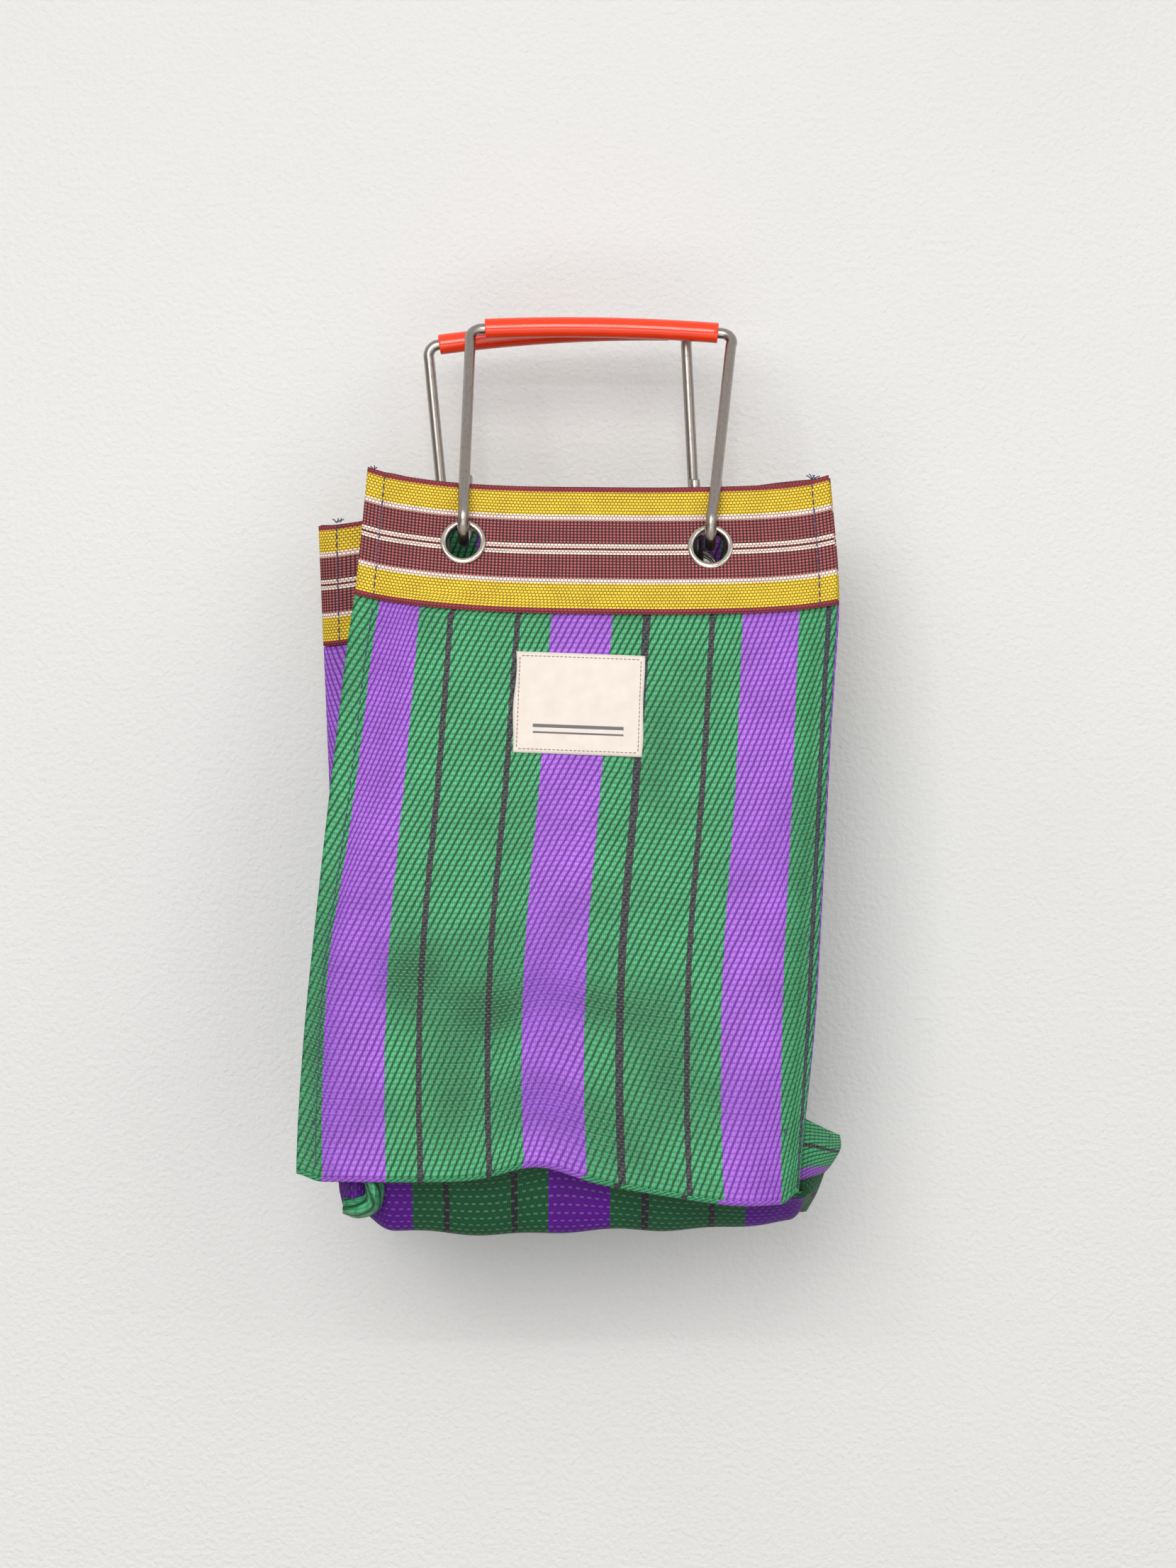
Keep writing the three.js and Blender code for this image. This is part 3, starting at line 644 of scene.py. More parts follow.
def striped_cloth(name, start, plain, depth):
    """Cloth of glossy plastic tape yarn, woven in a steep twill.

    The eye sees steep slanting rows of small upright floats, bright where they catch the light,
    over a darker ground with light weft dashes. The floats' brightness is a painted highlight,
    the ground is the same yarn in painted shade, and the dashes are painted highlights too. Rows
    are 2.8 mm apart and yarns 0.78 mm. start is where the stripes begin, in millimetres. The plain
    weave shows its dark ground, a painted shade, and its dashes. depth under 1 darkens the whole
    cloth, a painted shade.
    """
    sizes, colours, _ = settings()
    made, add = material(name, Roughness=0.42, IOR=1.5, Specular_IOR_Level=0.3,
                         Sheen_Weight=0.04, Sheen_Roughness=0.4)
    place = add("UVMap", uv_map="cloth")
    split = add("SeparateXYZ", place)
    wobble = add("TexNoise", {"Vector": place, "Scale": 230.0, "Detail": 1.0}).outputs["Fac"]
    nudge = add("Math", wobble, 0.0008, -0.0004, operation="MULTIPLY_ADD")
    across = add("Math", split.outputs["X"], nudge, operation="ADD")
    down = split.outputs["Y"]
    yarns = add("Math", across, 1 / YARN, operation="MULTIPLY")
    yarn = add("Math", yarns, operation="FLOOR")
    round_yarn = hump(add, add("Math", yarns, operation="FRACT"))
    # Slanting twill lines, and the staggered floats that they are made of.
    slant = add("Math", add("Math", across, 1 / TWILL[0], operation="MULTIPLY"),
                add("Math", down, 1 / TWILL[1], operation="MULTIPLY"), operation="ADD")
    wale = pulse(add, add("Math", slant, operation="FRACT"), 0.02, 0.3, 0.68, 0.96)
    rows = add("Math", yarn, ROW_SLOPE, add("Math", down, 1 / FLOAT, operation="MULTIPLY"),
               operation="MULTIPLY_ADD")
    floats = pulse(add, add("Math", rows, operation="FRACT"), 0.0, 0.25, 0.6, 0.95)
    floats = add("Math", floats, 0.5, 0.5, operation="MULTIPLY_ADD")
    twill = add("Math", wale, floats, operation="MULTIPLY")
    # Weft dashes in staggered rows. In the colour they are painted highlights.
    dash_along, dash_down = PLAIN_DASH if plain else DASH
    weft = add("Math", down, 1 / dash_down, operation="MULTIPLY")
    run = add("Math", across, 1 / dash_along, operation="MULTIPLY")
    dashes = add("Math", add("Math", weft, operation="FLOOR"), 0.5, run, operation="MULTIPLY_ADD")
    long = pulse(add, add("Math", dashes, operation="FRACT"), 0.0, 0.08, 0.52, 0.6)
    high = pulse(add, add("Math", weft, operation="FRACT"), 0.26, 0.4, 0.5, 0.64)
    dash = add("Math", long, high, operation="MULTIPLY")
    # Stripes follow whole yarns, so their edges step from yarn to yarn.
    middle = add("Math", yarn, 0.5, operation="ADD")
    stripe_at = add("Math", middle, YARN / sizes.stripe_repeat, operation="MULTIPLY")
    stripe = add("Math", add("Math", stripe_at, start * MM / sizes.stripe_repeat, operation="ADD"),
                 operation="FRACT")
    # Lit colour of the floats, and the same yarns in painted shade for the ground between them.
    top = hard_steps(add("ValToRGB", stripe), [(p, tuple(getattr(colours, c))) for p, c in STRIPES])
    ground = hard_steps(add("ValToRGB", stripe),
                        [(p, tuple(getattr(colours, c + "_dark"))) for p, c in STRIPES])
    narrow = hard_steps(add("ValToRGB", stripe),
                        [(p, YES if c == "black" else NO) for p, c in STRIPES])
    if plain:
        # Plain weave: mostly its ground in painted shade, a little painted highlight on each yarn's
        # crown.
        lit = add("Math", round_yarn, 0.12, operation="MULTIPLY")
        dash_highlight_share, saturation = 0.36, 1.22
    else:
        # Patches of painted shade, where the darker ground shows more: marked spots and a slow
        # noise.
        rolled = add("Attribute", attribute_name="rolled").outputs["Fac"]
        loose = speckle(add, place, 16.0, 0.5, 0.7, 0.0, 0.3, detail=2.0, distortion=0.4)
        painted_shade_patches = add("Math", add("Math", rolled, loose, operation="ADD"), 1.0, operation="MINIMUM")
        # Painted highlight on the floats' crowns, held back where the painted shade patches lie.
        raised = add("Math", twill, add("Math", round_yarn, 0.5, 0.5, operation="MULTIPLY_ADD"),
                     operation="MULTIPLY")
        closed = add("Math", painted_shade_patches, -0.88, 1.0, operation="MULTIPLY_ADD")
        lit = add("Math", raised, closed, operation="MULTIPLY")
        dash_highlight_share, saturation = add("Math", painted_shade_patches, 0.4, 0.04, operation="MULTIPLY_ADD"), 1.0
    # Painted shade and highlight: ground colour where lit is low, float colour where it is high.
    shade = add("Mix", {0: lit, 6: ground, 7: top}, data_type="RGBA").outputs[2]
    # Painted highlight of the weft dashes: the stripe colour halfway to near white.
    pale = add("Mix", {0: 0.5, 6: top, 7: linear("#e4efe8")}, data_type="RGBA").outputs[2]
    dash_highlight_share = add("Math", dash_highlight_share, add("Math", narrow, 0.25, operation="MULTIPLY"), operation="MAXIMUM")
    dash_highlight_share = add("Math", dash, dash_highlight_share, operation="MULTIPLY")
    shade = add("Mix", {0: dash_highlight_share, 6: shade, 7: pale}, data_type="RGBA").outputs[2]
    # Tone that differs at random; depth under 1 darkens all of it, a painted shade on the bottom.
    level = speckle(add, place, 60.0, 0.25, 0.75, 0.86 * depth, 1.12 * depth, detail=3.0)
    shade = add("HueSaturation", {"Saturation": saturation, "Value": level, "Color": shade})
    rough = add("MapRange", lit, 0.0, 1.0, 0.62, 0.38)
    height = add("Math", twill, add("Math", round_yarn, 0.35, dash, operation="MULTIPLY_ADD"),
                 operation="ADD")
    bump = add("Bump", {"Strength": 0.6, "Distance": 0.0003, "Height": height})
    return surface(made, Base_Color=shade, Roughness=rough, Normal=bump)


def band_webbing(name):
    """Heavy polypropylene webbing, woven narrow with ribs across it.

    The eye sees yellow basket weave with dark pinholes, maroon ribs lit salmon on their crowns with
    black between, thin white rows of oval floats and a braided dark red selvage. The dark pinholes
    and the black between ribs are painted shade, each colour's darker copy, and the salmon is a
    painted highlight. Ribs are 1.6 mm long and 1.25 mm high.
    """
    sizes, colours, _ = settings()
    made, add = material(name, Roughness=0.45, IOR=1.5, Specular_IOR_Level=0.35,
                         Sheen_Weight=0.05, Sheen_Roughness=0.45)
    place = add("UVMap", uv_map="cloth")
    split = add("SeparateXYZ", place)
    along, down = split.outputs["X"], split.outputs["Y"]
    share = add("Math", down, 1 / sizes.band_height, operation="MULTIPLY")
    lines = add("Math", down, 1 / RIB[1], operation="MULTIPLY")
    line = add("Math", lines, operation="FLOOR")
    high = hump(add, add("Math", lines, operation="FRACT"))
    yellow, maroon, white = tuple(colours.yellow), tuple(colours.maroon), tuple(colours.white)
    edge = linear("#93323a")
    stops = [(0.0, edge), (0.036, yellow), (0.221, white), (0.262, maroon), (0.452, white),
             (0.481, maroon), (0.503, white), (0.532, maroon), (0.724, white), (0.765, yellow),
             (0.958, edge)]
    # Painted shade: each colour's darker copy, for the pinholes and the gaps between the ribs.
    dark = {yellow: linear("#694908"), white: linear("#8d5a55"), maroon: linear("#1d0c0e"),
            edge: linear("#561a20")}
    top = hard_steps(add("ValToRGB", share), stops)
    under = hard_steps(add("ValToRGB", share), [(p, dark[c]) for p, c in stops])
    # 0 on the yellow, 1 on the maroon: the ribs are sharper there.
    ribbed = hard_steps(add("ValToRGB", share), [(p, YES if c == maroon else NO) for p, c in stops])
    # Yellow cells are staggered like bricks, and the ribs stand in columns.
    flat = add("Math", 1.0, ribbed, operation="SUBTRACT")
    shift = add("Math", flat, 0.5, operation="MULTIPLY")
    cells = add("Math", line, shift, add("Math", along, 1 / RIB[0], operation="MULTIPLY"),
                operation="MULTIPLY_ADD")
    wide = hump(add, add("Math", cells, operation="FRACT"))
    crown = add("Math", high, wide, operation="MULTIPLY")
    soft = add("MapRange", crown, 0.08, 0.62, 0.0, 1.0)
    sharp = add("MapRange", crown, 0.15, 1.0, 0.0, 1.0)
    cover = add("Mix", {0: ribbed, 2: soft, 3: sharp})
    # Painted shade between the cells and ribs, lit colour on their crowns.
    shade = add("Mix", {0: cover, 6: under, 7: top}, data_type="RGBA").outputs[2]
    # Painted highlight: salmon on the crowns of the maroon ribs.
    painted_crown_highlight = add("Math", add("Math", crown, 3.0, operation="POWER"), 0.4, operation="MULTIPLY")
    painted_crown_highlight = add("Math", painted_crown_highlight, ribbed, operation="MULTIPLY")
    shade = add("Mix", {0: painted_crown_highlight, 6: shade, 7: linear("#e08a88")}, data_type="RGBA").outputs[2]
    level = speckle(add, place, 120.0, 0.25, 0.75, 0.86, 1.12, detail=3.0)
    shade = add("HueSaturation", {"Value": level, "Color": shade})
    rough = add("MapRange", crown, 0.0, 1.0, 0.7, 0.4)
    bump = add("Bump", {"Strength": 0.6, "Distance": 0.0004, "Height": crown})
    return surface(made, Base_Color=shade, Roughness=rough, Normal=bump)


def drawn_steel(name):
    """Bare mild steel wire, cold drawn.

    The eye sees a soft grey metal with fine lines along the wire and a few duller, browner spots.
    """
    made, add = material(name, Metallic=1.0, Roughness=0.34)
    place = add("UVMap", uv_map="cloth")
    stretched = add("Mapping", {0: place, 3: (60.0, 3200.0, 1.0)})
    lines = add("TexNoise", {"Vector": stretched, "Scale": 1.0, "Detail": 4.0}).outputs["Fac"]
    worn = speckle(add, place, 420.0, 0.52, 0.72, 0.0, 0.55, detail=5.0, roughness=0.7)
    steel = tuple(settings()[1].steel)
    shade = add("Mix", {0: worn, 6: steel, 7: linear("#6e5f55")}, data_type="RGBA").outputs[2]
    fine = add("MapRange", lines, 0.3, 0.7, 0.85, 1.1)
    shade = add("HueSaturation", {"Value": fine, "Color": shade})
    rough = add("MapRange", worn, 0.0, 0.55, 0.28, 0.5)
    bump = add("Bump", {"Strength": 0.12, "Distance": 0.0001, "Height": lines})
    return surface(made, Base_Color=shade, Roughness=rough, Normal=bump)


def soft_vinyl(name):
    """Extruded soft PVC tube.

    The eye sees an even saturated colour with a narrow gloss along the top and faint die lines.
    """
    made, add = material(name, Roughness=0.1, IOR=1.53)
    place = add("UVMap", uv_map="cloth")
    stretched = add("Mapping", {0: place, 3: (25.0, 900.0, 1.0)})
    lines = add("TexNoise", {"Vector": stretched, "Scale": 1.0, "Detail": 2.0}).outputs["Fac"]
    level = speckle(add, place, 90.0, 0.3, 0.7, 0.94, 1.05, detail=2.0)
    shade = add("HueSaturation", {"Value": level, "Color": tuple(settings()[1].grip)})
    rough = add("MapRange", lines, 0.3, 0.7, 0.07, 0.12)
    bump = add("Bump", {"Strength": 0.08, "Distance": 0.0001, "Height": lines})
    return surface(made, Base_Color=shade, Roughness=rough, Normal=bump)


def plated_nickel(name, roughness):
    """Stamped brass eyelet with bright nickel plating.

    The eye sees mirror-like rolled metal with faint turning marks and a few dull specks.
    """
    made, add = material(name, Metallic=1.0, Roughness=roughness)
    dull = speckle(add, add("UVMap", uv_map="cloth"), 500.0, 0.58, 0.75, 0.0, 1.0, detail=4.0)
    share = add("Math", dull, 0.4, operation="MULTIPLY")
    nickel = tuple(settings()[1].nickel)
    shade = add("Mix", {0: share, 6: nickel, 7: linear("#8c7a66")}, data_type="RGBA").outputs[2]
    rough = add("MapRange", dull, 0.0, 1.0, roughness, roughness + 0.2)
    return surface(made, Base_Color=shade, Roughness=rough)


def sewing_thread(name, tone):
    """Spun polyester thread, two plies twisted.

    The eye sees a matt dark line with a slanting twist.
    """
    made, add = material(name, Roughness=0.75, IOR=1.5, Sheen_Weight=0.3, Sheen_Roughness=0.5)
    split = add("SeparateXYZ", add("UVMap", uv_map="cloth"))
    twist = add("Math", add("Math", split.outputs["X"], 9000.0, operation="MULTIPLY"),
                add("Math", split.outputs["Y"], 2000.0, operation="MULTIPLY"), operation="ADD")
    wave = add("Math", twist, operation="SINE")
    share = add("Math", wave, 0.25, 0.35, operation="MULTIPLY_ADD")
    ply = linear("#4a4f78")
    shade = add("Mix", {0: share, 6: tuple(tone), 7: ply}, data_type="RGBA").outputs[2]
    bump = add("Bump", {"Strength": 0.3, "Distance": 0.0001, "Height": wave})
    return surface(made, Base_Color=shade, Normal=bump)


def cotton_label(name):
    """Plain woven cotton tape, pressed and printed.

    The eye sees a warm cream with a fine square weave, a soft border where it is turned in, and
    two plain printed rules. The weave is drawn at 0.45 mm so that it shows.
    """
    made, add = material(name, Roughness=0.85, IOR=1.47, Sheen_Weight=0.25, Sheen_Roughness=0.5)
    place = add("UVMap", uv_map="cloth")
    split = add("SeparateXYZ", place)
    across, down = split.outputs["X"], split.outputs["Y"]
    turns = 2 * math.pi / LABEL_WEAVE
    warp, weft = (add("Math", add("Math", way, turns, operation="MULTIPLY"), operation="SINE")
                  for way in (across, down))
    weave = add("Math", warp, weft, operation="MULTIPLY")
    cloudy = speckle(add, place, 160.0, 0.3, 0.7, 0.95, 1.03, detail=4.0)
    level = add("Math", weave, 0.035, cloudy, operation="MULTIPLY_ADD")
    shade = add("HueSaturation", {"Value": level, "Color": tuple(settings()[1].label)})
    side = pulse(add, across, 0.0078, 0.0081, 0.0444, 0.0447)
    upper = pulse(add, down, 0.0292, 0.0294, 0.0306, 0.0308)
    lower = pulse(add, down, 0.0322, 0.0324, 0.0330, 0.0332)
    rules = add("Math", side, add("Math", upper, lower, operation="MAXIMUM"), operation="MULTIPLY")
    inked = add("Math", rules, 0.85, operation="MULTIPLY")
    shade = add("Mix", {0: inked, 6: shade, 7: linear("#3b3f47")}, data_type="RGBA").outputs[2]
    bump = add("Bump", {"Strength": 0.2, "Distance": 0.0001, "Height": weave})
    return surface(made, Base_Color=shade, Normal=bump)


def painted_wall(name):
    """Wall in pale matt emulsion, rolled on.

    The eye sees an even off-white with a fine orange-peel grain of about 2 mm. Its back lets the
    view through, so that the bag can be looked at from behind.
    """
    made, add = material(name, Roughness=0.9, IOR=1.45)
    geometry = add("NewGeometry")
    place = geometry.outputs["Position"]
    grain = add("TexNoise", {"Vector": place, "Scale": 420.0, "Detail": 3.0}).outputs["Fac"]
    level = speckle(add, place, 6.0, 0.3, 0.7, 0.985, 1.01, detail=3.0)
    shade = add("HueSaturation", {"Value": level, "Color": tuple(settings()[2].wall)})
    bump = add("Bump", {"Strength": 0.8, "Distance": 0.001, "Height": grain})
    nodes = made.node_tree.nodes
    clear = add("BsdfTransparent")
    either = add("MixShader", geometry.outputs["Backfacing"], nodes["Principled BSDF"], clear)
    made.node_tree.links.new(either.outputs[0], nodes["Material Output"].inputs["Surface"])
    return surface(made, Base_Color=shade, Normal=bump)


def finish_of(name, make, *details):
    """A material by name, made when it is first asked for."""
    return bpy.data.materials.get(name) or make(name, *details)


def cloth_finish(part):
    """Striped cloth of one part of the bag, with the stripes where they fall on that part."""
    start, plain, depth = CLOTHS[part]
    weave = "plastic yarn, plain weave" if plain else "plastic yarn twill, " + part
    return finish_of(weave, striped_cloth, start, plain, depth)


def webbing_finish():
    return finish_of("polypropylene webbing, ribbed", band_webbing)


def thread_finish():
    return finish_of("polyester thread, twisted", sewing_thread, settings()[1].thread)


def dress(made, finish, body, slot, *nodes):
    """Gives a piece its material and its body and hides the model nodes it stands for; slot is not
    used.
    """
    made.data.materials.clear()
    made.data.materials.append(finish)
    if body:
        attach(made, body)
    if nodes:
        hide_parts(*nodes)
    return made


# ---- cloth of the walls --------------------------------------------------------------------

def grid(rows, cols):
    return np.meshgrid(np.linspace(0, 1, rows + 1), np.linspace(0, 1, cols + 1), indexing="ij")


def eyelet_centre(which, sign):
    """Middle of an eyelet on its band's mid-plane: the hook's foot hangs in it."""
    handle = HANDLES[which]
    foot = handle.at(handle.foot(sign), 0.0, 0.0)
    tilt = math.atan(BAND_TILT) if which == "front" else 0.0
    return foot - WIRE_RIDE * np.array((0.0, math.sin(tilt), math.cos(tilt)))


def band_normal(which):
    """Outward direction of a wall's band."""
    tilt = math.atan(BAND_TILT)
    front = (0.0, -math.cos(tilt), math.sin(tilt))
    return np.array(front if which == "front" else (0.0, 1.0, 0.0))


def clear_of_eyelets(which, points, reach):
    """Grid cells that aren't cut away for the wall's two eyelets."""
    centres = (points[1:, 1:] + points[:-1, :-1] + points[1:, :-1] + points[:-1, 1:]) / 4
    keep = np.ones(centres.shape[:2], dtype=bool)
    for sign in (-1, 1):
        way = centres - eyelet_centre(which, sign)
        keep &= np.hypot(way[..., 0], way[..., 2]) > reach
    return keep


def wall_cloth(which, point, width, body, rows, cols):
    """A wall's cloth with the piece of it behind the band, cut away for the eyelets."""
    v, u = grid(rows, cols)
    v = 0.006 + v * 0.994
    s = u * width
    points = point(s, v)
    flat = np.stack((s, cloth_down(v)), -1)
    made = cloth_sheet(which + "_cloth", points, flat, settings()[0].cloth / MM, band_normal(which),
                       clear_of_eyelets(which, points, EYELET_CUT))
    dress(made, cloth_finish(which), body, "cloth", which + "_panel", which + "_lining")
    if which == "front":
        paint_shade_spots(made)


def place_on_cloth(made):
    """Each point's place on the flat cloth, in metres."""
    place = np.zeros((len(made.data.vertices), 2))
    layer = made.data.uv_layers["cloth"].data
    for loop in made.data.loops:
        place[loop.vertex_index] = layer[loop.index].uv
    return place


def paint_shade_spots(made):
    """Marks patches of painted shade on the front cloth: about a crease low on the wall, mostly.

    Each spot is a place across and down the cloth, a width and a height in millimetres, and how
    dark its painted shade is.
    """
    spots = [(46, 205, 16, 17, 0.95), (74, 222, 17, 15, 0.7), (120, 217, 30, 13, 0.75),
             (150, 236, 14, 22, 0.5), (172, 252, 26, 14, 0.35), (66, 252, 12, 22, 0.55),
             (96, 262, 20, 12, 0.5), (126, 268, 18, 16, 0.55), (8, 236, 10, 60, 0.75),
             (206, 190, 9, 80, 0.5), (30, 262, 16, 12, 0.4), (140, 120, 10, 26, 0.2)]
    across, down = (place_on_cloth(made) / MM).T
    # rolled holds how dark the painted shade is at each point.
    rolled = np.zeros(len(across))
    for s, low, wide, high, strength in spots:
        rolled += strength * np.exp(-(((across - s) / wide) ** 2) - ((down - low) / high) ** 2)
    # Stored as the attribute rolled, which the cloth material reads as painted shade.
    shade = made.data.attributes.new("rolled", "FLOAT", "POINT")
    shade.data.foreach_set("value", np.minimum(rolled, 1.0).astype(np.float32))


def wall_band(which, point, width, body):
    """A wall's webbing, a little thicker along its two selvages."""
    v, u = grid(36, 150)
    s = u * width
    down = v * BAND_DOWN
    points = point(s, v * BAND_SHARE, LAYER)
    selvage = sum(0.35 * np.exp(-((way - 1.1) / 1.2) ** 2) for way in (down, BAND_DOWN - down))
    points = points + band_normal(which) * selvage[..., None]
    flat = np.stack((s, down), -1)
    made = cloth_sheet(which + "_webbing", points, flat, settings()[0].webbing / MM,
                       band_normal(which), clear_of_eyelets(which, points, EYELET_CUT + 0.1))
    dress(made, webbing_finish(), body, "webbing", which + "_band")


WALLS = (("front", front_point, FRONT_CLOTH, "front_wall"),
         ("back", back_point, BACK_CLOTH, "bag_body"))


class BAG_OT_walls(bpy.types.Operator):
    """Front and back wall cloth with the webbing bands of the mouth"""
    bl_idname = "bag.walls"
    bl_label = "Walls and bands"

    def execute(self, context):
        for wall, cells in zip(WALLS, ((150, 130), (120, 100))):
            wall_cloth(*wall, *cells)
        for wall in WALLS:
            wall_band(*wall)
        return {"FINISHED"}


# ---- sides and bottom ----------------------------------------------------------------------

def gusset_point(left, v, t, spare=0.0):
    """Side cloth from the front wall's edge (t 0) to the back wall's edge (t 1), folding in."""
    inward = 1.0 if left else -1.0
    s_front = 0.0 if left else FRONT_CLOTH
    s_back = 0.0 if left else BACK_CLOTH
    gap = 1.25 + spare
    a = front_point(s_front + (0.6 if left else 1.1), v) + np.array((0.0, gap, 0.0))
    b = back_point(s_back - inward * 0.5, v) - np.array((0.0, gap, 0.0))
    mouth = (0, settings()[0].gusset_fold / MM)
    if left:
        fold = soft_curve(v, [mouth, (0.5, 26), (0.85, 14), (1, 8)])
    else:
        fold = soft_curve(v, [mouth, (0.55, 20), (0.8, 6), (0.9, 0), (1, 0)])
    pinned = 9.0
    middle = (16.0 * fold - 8.0 * pinned) / 6.0
    weights = [(1 - t) ** 4, 4 * t * (1 - t) ** 3, 6 * t ** 2 * (1 - t) ** 2, 4 * t ** 3 * (1 - t)]
    depth = weights[1] * pinned + weights[2] * middle + weights[3] * pinned
    share = (weights[0] + weights[1] + weights[2] / 2)[..., None]
    p = a * share + b * (1 - share)
    p[..., 0] += inward * depth
    return p


def follow_front(made, share):
    """Bakes a side piece's transform into its mesh. share, where it lies across the cloth, is not
    used.
    """
    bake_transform(made)


def side_share(made):
    """1 at the front edge of a side and 0 at its back edge, from its place on the flat cloth."""
    t = np.clip(place_on_cloth(made)[:, 0] / (100.0 * MM), 0, 1)
    return 1 - t * t * (3 - 2 * t)


class BAG_OT_sides(bpy.types.Operator):
    """Folded side cloth with its band, on the left and on the right"""
    bl_idname = "bag.sides"
    bl_label = "Folded sides"

    def execute(self, context):
        sizes = settings()[0]
        for hand, left in (("left", True), ("right", False)):
            outward = (-1.0 if left else 1.0, 0.0, 0.0)
            w, t = grid(110, 56)
            v = mix(BAND_SHARE + 0.002, 0.992, w)
            flat = np.stack((t * 100.0, cloth_down(v)), -1)
            cloth = cloth_sheet(hand + "_side_cloth", gusset_point(left, v, t), flat,
                                sizes.cloth / MM, outward)
            dress(cloth, cloth_finish(hand + " side"), None, "cloth", hand + "_gusset")
            follow_front(cloth, side_share(cloth))
            w, t = grid(22, 56)
            v = mix(0.003, BAND_SHARE + 0.001, w)
            flat = np.stack((t * 100.0, w * BAND_DOWN), -1)
            band = cloth_sheet(hand + "_side_webbing", gusset_point(left, v, t, 0.9), flat,
                               sizes.webbing / MM, outward)
            dress(band, webbing_finish(), None, "webbing", hand + "_gusset_band")
            follow_front(band, side_share(band))
        return {"FINISHED"}


def bottom_point(s, t, shift):
    """Loose bottom from the front wall's bottom edge (t 0) to the back wall's (t 1).

    It hangs behind the front edge in a shallow belly that has slipped to the right.
    """
    a = front_point(s, 1.0) + np.array((0.0, 1.6, 0.6))
    s_back = 2.0 + (s - 3.0) / (FRONT_CLOTH - 15.0) * (BACK_CLOTH - 4.0)
    b = back_point(s_back, 1.0) + np.array((0.0, -1.6, -1.0))
    slipped = shift + 0.55 * np.maximum(26.0 - s, 0.0)
    x = mix(a[..., 0], b[..., 0], smooth(t, 0.55, 1.0))
    x = x + slipped * smooth(t, 0.0, 0.04) * (1 - 0.6 * smooth(t, 0.6, 1.0))
    y = mix(a[..., 1], b[..., 1], 0.04 + 0.96 * t ** 0.9)
    low = -371.2 + 1.0 * np.sin(x / 17.0) + 5.2 * smooth(x, 35.0, 92.0)
    low = low + 9.0 * smooth(x, -70.0, -90.0) + 9.0 * smooth(x, 90.0, 100.0)
    edge = mix(a[..., 2], b[..., 2], t)
    drop = smooth(t, 0.03, 0.2) * (1 - smooth(t, 0.4, 1.02))
    z = edge + (low - edge) * drop + 0.5 * np.sin(s / 6.0 + 4 * t) * drop
    return np.stack((x, y, z), -1)


def spline(points, t):
    """Smooth curve through a list of values, t from 0 to 1."""
    points = np.asarray(points, float)
    count = len(points) - 1
    ends = np.concatenate((points[:1] * 2 - points[1:2], points, points[-1:] * 2 - points[-2:-1]))
    place = np.clip(np.asarray(t, float) * count, 0, count - 1e-9)
    k = place.astype(int)
    f = (place - k).reshape(place.shape + (1,) * (points.ndim - 1))
    p0, p1, p2, p3 = ends[k], ends[k + 1], ends[k + 2], ends[k + 3]
    return 0.5 * (2 * p1 + (p2 - p0) * f + (2 * p0 - 5 * p1 + 4 * p2 - p3) * f ** 2
                  + (3 * p1 - p0 - 3 * p2 + p3) * f ** 3)


def fold_patch(name, lines, across, finish, outward):
    """Small fold of cloth through a few lines of points.

    across gives each line its place in the stripes.
    """
    rows, cols = 24, 20
    down = spline(np.array(lines, float), np.linspace(0, 1, rows + 1))
    points = spline(down.transpose(1, 0, 2), np.linspace(0, 1, cols + 1)).transpose(1, 0, 2)
    stripe = np.interp(np.linspace(0, 1, rows + 1), np.linspace(0, 1, len(across)), across)
    steps = np.linalg.norm(np.diff(points[rows // 2], axis=0), axis=1)
    run = np.concatenate(((0,), np.cumsum(steps)))
    uv = np.stack(np.broadcast_arrays(stripe[:, None], 200.0 + run[None, :]), -1)
    made = cloth_sheet(name, points, uv, settings()[0].cloth / MM, outward)
    dress(made, finish, "bag_body", "cloth")
    return made


